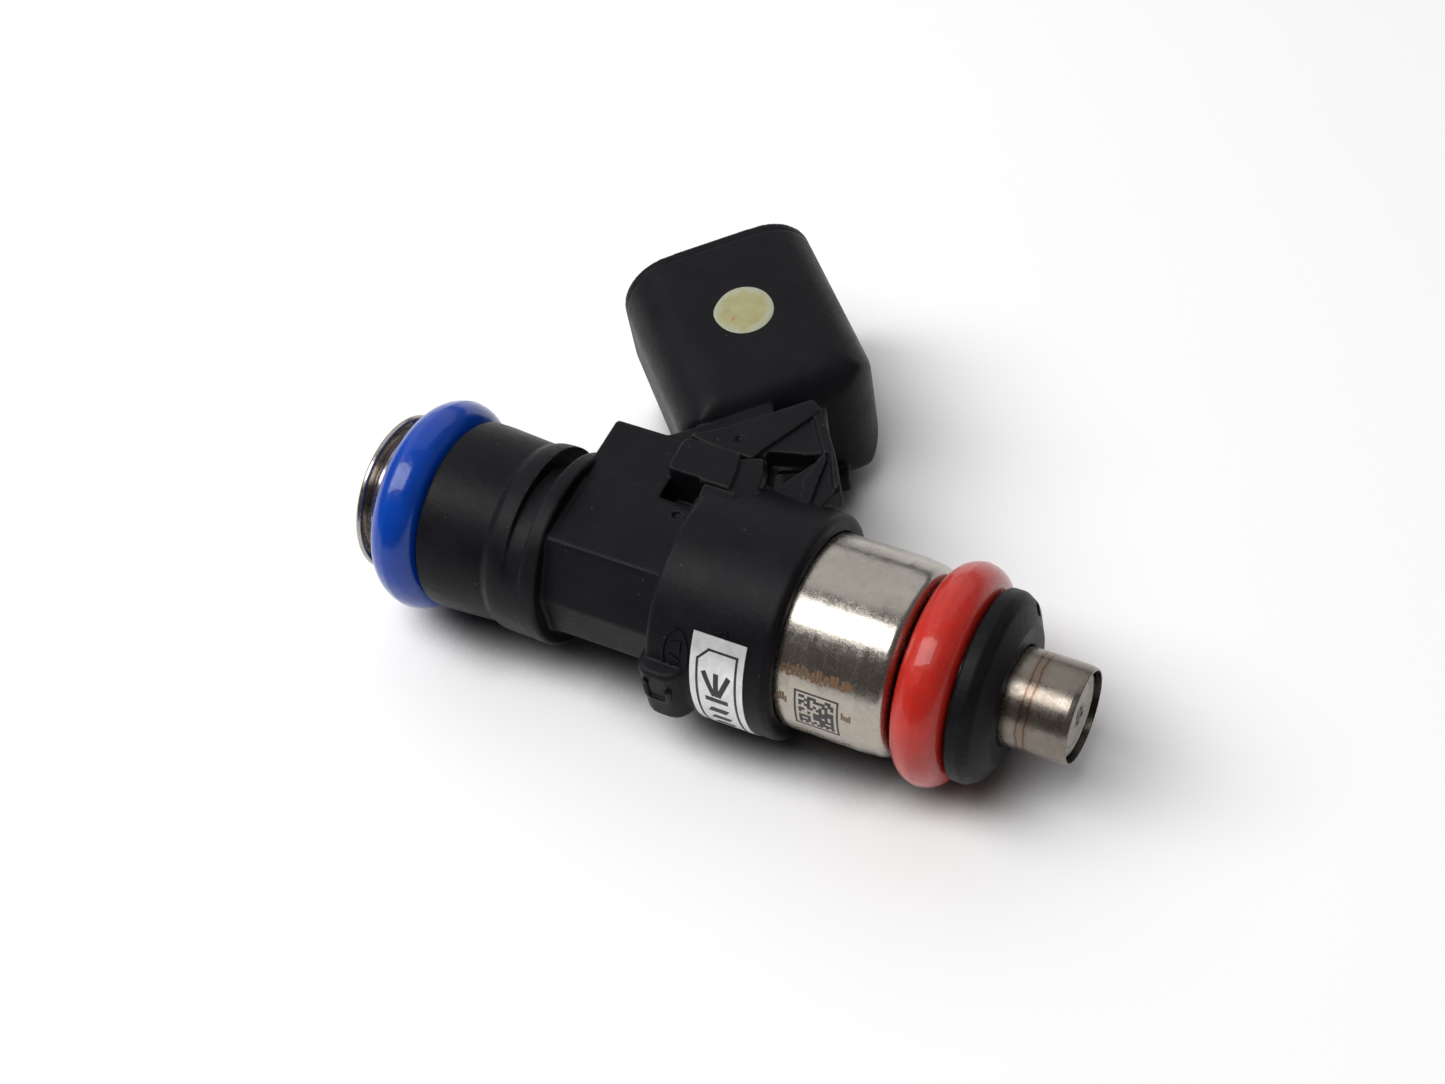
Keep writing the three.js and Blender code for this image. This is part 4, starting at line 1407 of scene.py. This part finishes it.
# ---------------------------------------------------------------- floor, light and camera
FLOOR_Z = cad_box[0][2] / MM - 0.02
CAMERA_TARGET = Vector((-26.2345, 3.9693, 0))
CAMERA_DISTANCE = 149.95
CAMERA_AZIMUTH = 36.80
CAMERA_ELEVATION = 52.30
CAMERA_ROLL = -12.80
CAMERA_LENS = 57.30
LIT_POINT = Vector((-25, 2, 0))


def floor():
    reach = 1500
    corners = ((-1, -1), (1, -1), (1, 1), (-1, 1))
    vertices = [(x * reach, y * reach, FLOOR_Z) for x, y in corners]
    obj = add_object("floor", vertices, [[0, 1, 2, 3]])
    obj.data.materials.append(floor_paper())


def placed(data, across, up, back, place):
    """Puts a camera or light in the scene with its own axes along the given directions."""
    obj = bpy.data.objects.new(data.name, data)
    bpy.context.scene.collection.objects.link(obj)
    obj.matrix_world = Matrix((
        (across.x, up.x, back.x, place.x),
        (across.y, up.y, back.y, place.y),
        (across.z, up.z, back.z, place.z),
        (0, 0, 0, 1),
    ))
    return obj


def camera():
    azimuth = math.radians(CAMERA_AZIMUTH)
    elevation = math.radians(CAMERA_ELEVATION)
    roll = math.radians(CAMERA_ROLL)
    back = Vector((
        math.cos(elevation) * math.sin(azimuth), -math.cos(elevation) * math.cos(azimuth), math.sin(elevation),
    ))
    level = Vector((math.cos(azimuth), math.sin(azimuth), 0))
    upright = back.cross(level)
    right = level * math.cos(roll) + upright * math.sin(roll)
    up = back.cross(right)
    data = bpy.data.cameras.new("camera")
    data.lens = CAMERA_LENS
    data.sensor_width = 36
    data.clip_start = 0.001
    place = (CAMERA_TARGET + back * CAMERA_DISTANCE) * MM
    bpy.context.scene.camera = placed(data, right, up, back, place)


def softbox(name, direction, distance, size, power):
    """Rectangular light aimed at the middle of the injector, its first side along X."""
    data = bpy.data.lights.new(name, "AREA")
    data.shape = "RECTANGLE"
    data.size, data.size_y = (s * MM for s in size)
    data.energy = power
    back = Vector(direction).normalized()
    across = (Vector((1, 0, 0)) - back * back.x).normalized()
    placed(data, across, back.cross(across), back, (LIT_POINT + back * distance) * MM)


def world():
    """Grey room, a little paler behind the injector than in front of it."""
    scene = bpy.context.scene
    scene.world = bpy.data.worlds.new("room")
    scene.world.use_nodes = True
    tree = scene.world.node_tree
    background = tree.nodes["Background"]
    texture = tree.nodes.new("ShaderNodeTexCoord")
    split = tree.nodes.new("ShaderNodeSeparateXYZ")
    tree.links.new(texture.outputs["Generated"], split.inputs[0])
    ramp = tree.nodes.new("ShaderNodeValToRGB")
    depth = tree.nodes.new("ShaderNodeMapRange")
    depth.inputs[1].default_value = -1.0
    depth.inputs[2].default_value = 1.0
    tree.links.new(split.outputs[1], depth.inputs[0])
    tree.links.new(depth.outputs[0], ramp.inputs[0])
    stops = ramp.color_ramp.elements
    stops[0].position = 0.1
    stops[0].color = (0.11, 0.10, 0.095, 1)
    stops[1].position = 0.8
    stops[1].color = (0.20, 0.20, 0.205, 1)
    tree.links.new(ramp.outputs[0], background.inputs["Color"])
    background.inputs["Strength"].default_value = 1.0
    scene.view_settings.view_transform = "Standard"


floor()
camera()
world()
softbox("key", (-0.366, -0.27, 0.89), 420, (560, 190), 2.1)
softbox("back", (-0.3, 0.68, 0.67), 600, (1100, 760), 1.8)
